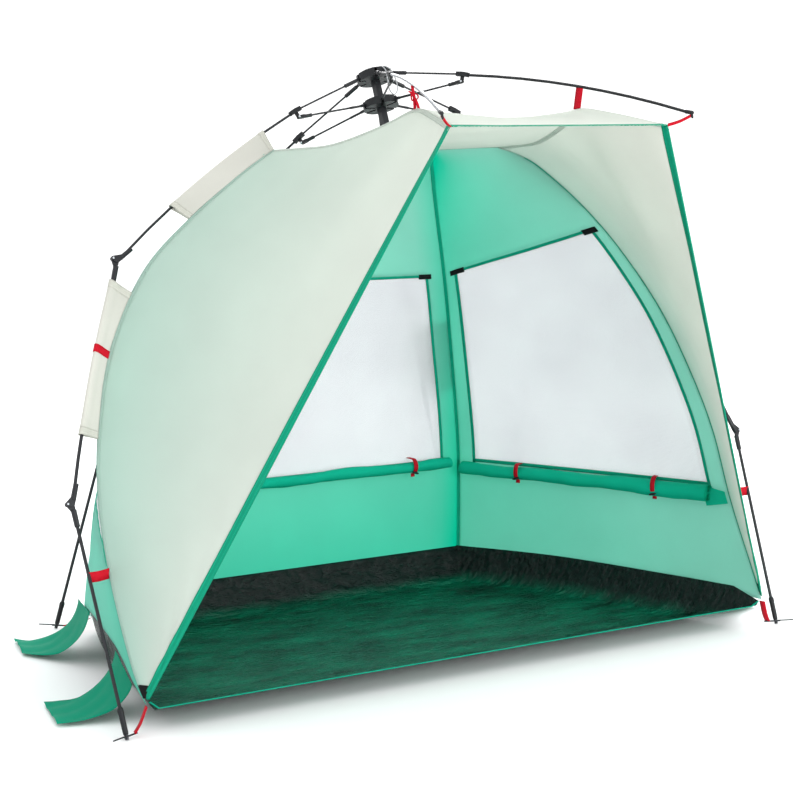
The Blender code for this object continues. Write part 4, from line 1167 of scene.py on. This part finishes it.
def build_ties():
    """Red webbing between the cloth and the frame."""
    for side, word in SIDES:
        pole = right_frame("front") @ arm_point((LOWER_KNUCKLE["front"][0] - 0.008, 1.358))
        seam = WING_CURVE.at(WING_CURVE.nearest(Vector((1.091, 0.184, 0.400))))
        line = [seam, seam.lerp(pole, 0.5) - UP * 0.002, pole]
        flat_strap("leg_tie_front_" + word, smooth_line(line, 16), UP, 0.028, side)
        for arm, corner in (("front", FLOOR_FRONT), ("back", FLOOR_BACK)):
            foot = right_frame(arm) @ arm_point(foot_point(arm))
            catch = foot + Vector((-foot.x, 0.5 - foot.y, 0)).normalized() * 0.030
            catch.z = FOOT_BAR_LEVEL
            line = [corner - UP * 0.004, corner.lerp(catch, 0.5) - UP * 0.010, catch]
            flat_strap("corner_strap_%s_%s" % (arm, word), smooth_line(line, 20), (catch - corner).cross(UP),
                       0.020, side)
        top = Vector(RIDGE[4])
        share = min(spread(0.3, 0.9, 60), key=lambda s: (pole_line("eave", "eave", s) - top).length)
        above = pole_line("eave", "eave", share)
        if side > 0:
            line = [top, top.lerp(above, 0.5), above]
            flat_strap("crest_strap_right", smooth_line(line, 14), Vector((0.25, -1, 0.1)), 0.025)
        else:
            knotted_strap("crest_strap_left", mirror(top), mirror(above))
        tip = right_frame("eave") @ arm_point((EAVE_TIP[0] - 0.006, EAVE_TIP[1] + 0.006))
        line = [EAVE_CORNER, EAVE_CORNER.lerp(tip, 0.5) - UP * 0.003, tip]
        across = Vector((1, 0.3, 0.2)) if side < 0 else Vector((0.2, 0.3, 1.0))
        flat_strap("eave_tie_" + word, smooth_line(line, 14), across, 0.009, side, 0.0022)


def build_corner_patches():
    for side, word in SIDES:
        surface = RIGHT_WING[side]
        rows = [[surface(across, down) for across in spread(0.0, 0.6, 6)] for down in spread(0.968, 0.990, 8)]
        tape("corner_patch_" + word, rows, BLACK_TAPE, side, thickness=TAPE + 0.0012)


# ---- Rivets, feet and the pull cord
def build_rivets():
    """A bright domed head on each end of every knuckle pin and brace pin."""
    half = ((0.0063, 0.0012), (0.0064, 0.0036), (0.0074, 0.0034), (0.0084, 0.0022), (0.0088, 0.0006))
    outline = [(-reach, radius) for reach, radius in reversed(half)] + list(half)
    for joint in frame["joints"]:
        if not joint["name"].startswith(("upper_knuckle", "lower_knuckle", "brace_fold")):
            continue
        centre = Vector(joint["pos_m"]) + Vector((0, ORIGIN_BACK, 0))
        axis = Vector(joint["axis"]).normalized()
        tube("rivet_" + joint["name"], [centre + axis * reach for reach, radius in outline],
             [radius for reach, radius in outline], STEEL, joint["parent"])


def build_feet():
    """A thick ferrule on the end of each leg, and the pin's outer end."""
    ferrule = ((0.013, 0.0040), (0.014, 0.0068), (0.020, 0.0074), (0.045, 0.0076), (0.066, 0.0076),
               (0.072, 0.0082), (0.080, 0.0082), (0.086, 0.0058), (0.087, 0.0040))
    for joint in frame["joints"]:
        if not joint["name"].startswith("lower_knuckle"):
            continue
        arm, word = joint["name"].split("_")[2:]
        tag, side = "_%s_%s" % (arm, word), 1 if word == "right" else -1
        foot = foot_point(arm)
        line = [right_frame(arm) @ arm_point(along(foot, LOWER_KNUCKLE[arm], reach))
                for reach, radius in ferrule]
        tube("foot_ferrule" + tag, on_side([line], side)[0], [radius for reach, radius in ferrule], PLASTIC,
             joint["child"], 20)
        point = right_frame(arm) @ arm_point(foot)
        outward = Vector((point.x, point.y - 0.5, 0)).normalized()
        line = [point + outward * reach + UP * FOOT_BAR_LEVEL
                for reach in (0.004, 0.020, 0.040, 0.054, 0.056)]
        tube("foot_pin_end" + tag, on_side([line], side)[0], [0.0020] * 4 + [0.0009], DARK_STEEL,
             joint["child"], 12)


def build_pull_cord():
    """Thin grey cord looped over the hub's front edge, hanging beside the post."""
    route = [(0.018, 0.017, 0.004), (0.044, 0.017, 0.008), (0.057, 0.009, 0.014), (0.062, -0.006, 0.022),
             (0.056, -0.034, 0.034), (0.050, -0.058, 0.036), (0.046, -0.072, 0.024), (0.048, -0.060, 0.010),
             (0.056, -0.034, 0.004), (0.062, -0.006, 0.001), (0.057, 0.009, -0.002), (0.044, 0.017, -0.004),
             (0.018, 0.017, -0.004)]
    line = [HUB + HUB_FRONT * ahead + HUB_UP * rise + Vector((across, 0, 0)) for ahead, rise, across in route]
    points = smooth_line(line, 90)
    cord = tube("hub_pull_cord", points, [0.0017] * len(points), CORD, sides=10, crumples=False)
    path = [point - Vector((0, ORIGIN_BACK, 0)) for point in points]
    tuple(path[0])
    running_length(path)[-1]


# ---- Frame finishes
def finish_frame():
    """Better materials on the frame's own solids."""
    for name, node in frame["nodes"].items():
        if node.hide_render:
            continue
        chosen = POLE
        if name.startswith(("hub_housing", "hub_cap", "lower_hub", "elbow_clip", "eave_cap")):
            chosen = PLASTIC
        elif name.startswith("foot_pin"):
            chosen = DARK_STEEL
        elif name.startswith("hub_hinge_ring"):
            chosen = STEEL
        elif name.startswith("eave_pole"):
            chosen = GREY_POLE if name.endswith("left") else POLE
        node.data.materials.clear()
        node.data.materials.append(chosen)


# ---- Stage
def build_stage():
    mesh = bpy.data.meshes.new("stage_floor")
    corners = [(-14.0, -14.0, 0), (14.0, -14.0, 0), (14.0, 14.0, 0), (-14.0, 14.0, 0)]
    mesh.from_pydata(corners, [], [(0, 1, 2, 3)])
    mesh.materials.append(plain_floor())
    ground = put("stage_floor", mesh)
    ground.location.z = -0.001

    world = bpy.data.worlds.new("studio")
    bpy.context.scene.world = world
    world.use_nodes = True
    bpy.context.scene.view_settings.view_transform = "Standard"
    sky = world.node_tree.nodes["Background"]
    sky.inputs["Color"].default_value = (1.0, 1.0, 1.0, 1.0)
    sky.inputs["Strength"].default_value = 1.35

    def area(name, place, target, size, energy):
        data = bpy.data.lights.new(name, "AREA")
        data.shape = "RECTANGLE"
        data.size, data.size_y = size
        data.energy = energy
        lamp = put(name, data)
        lamp.location = place
        lamp.rotation_euler = (Vector(target) - Vector(place)).to_track_quat("-Z", "Y").to_euler()

    area("key", (-2.5, -4.5, 4.2), (0, 0, 0.8), (3.0, 2.2), 30)
    area("rear", (3.4, 4.2, 3.2), (0.3, 0.2, 0.8), (4.0, 3.0), 240)
    area("inside_fill", (1.0, -5.0, 1.4), (0.1, 0.4, 0.7), (3.0, 2.0), 125)


def build_camera():
    data = bpy.data.cameras.new("camera")
    data.lens = 97.93
    data.sensor_width = 36.0
    data.clip_end = 100.0
    camera = put("camera", data)
    camera.location = (-3.587, -5.496, 1.618)
    camera.rotation_euler = (radians(90 - 7.707), 0.0, radians(-33.924))
    bpy.context.scene.camera = camera


for build in (build_camera, build_stage, build_walls, build_white_panels, build_wall_seams, build_floor,
              build_flaps, build_blinds, build_tabs, build_sleeves, build_ties, build_corner_patches,
              build_rivets, build_feet, build_pull_cord, finish_frame):
    build()
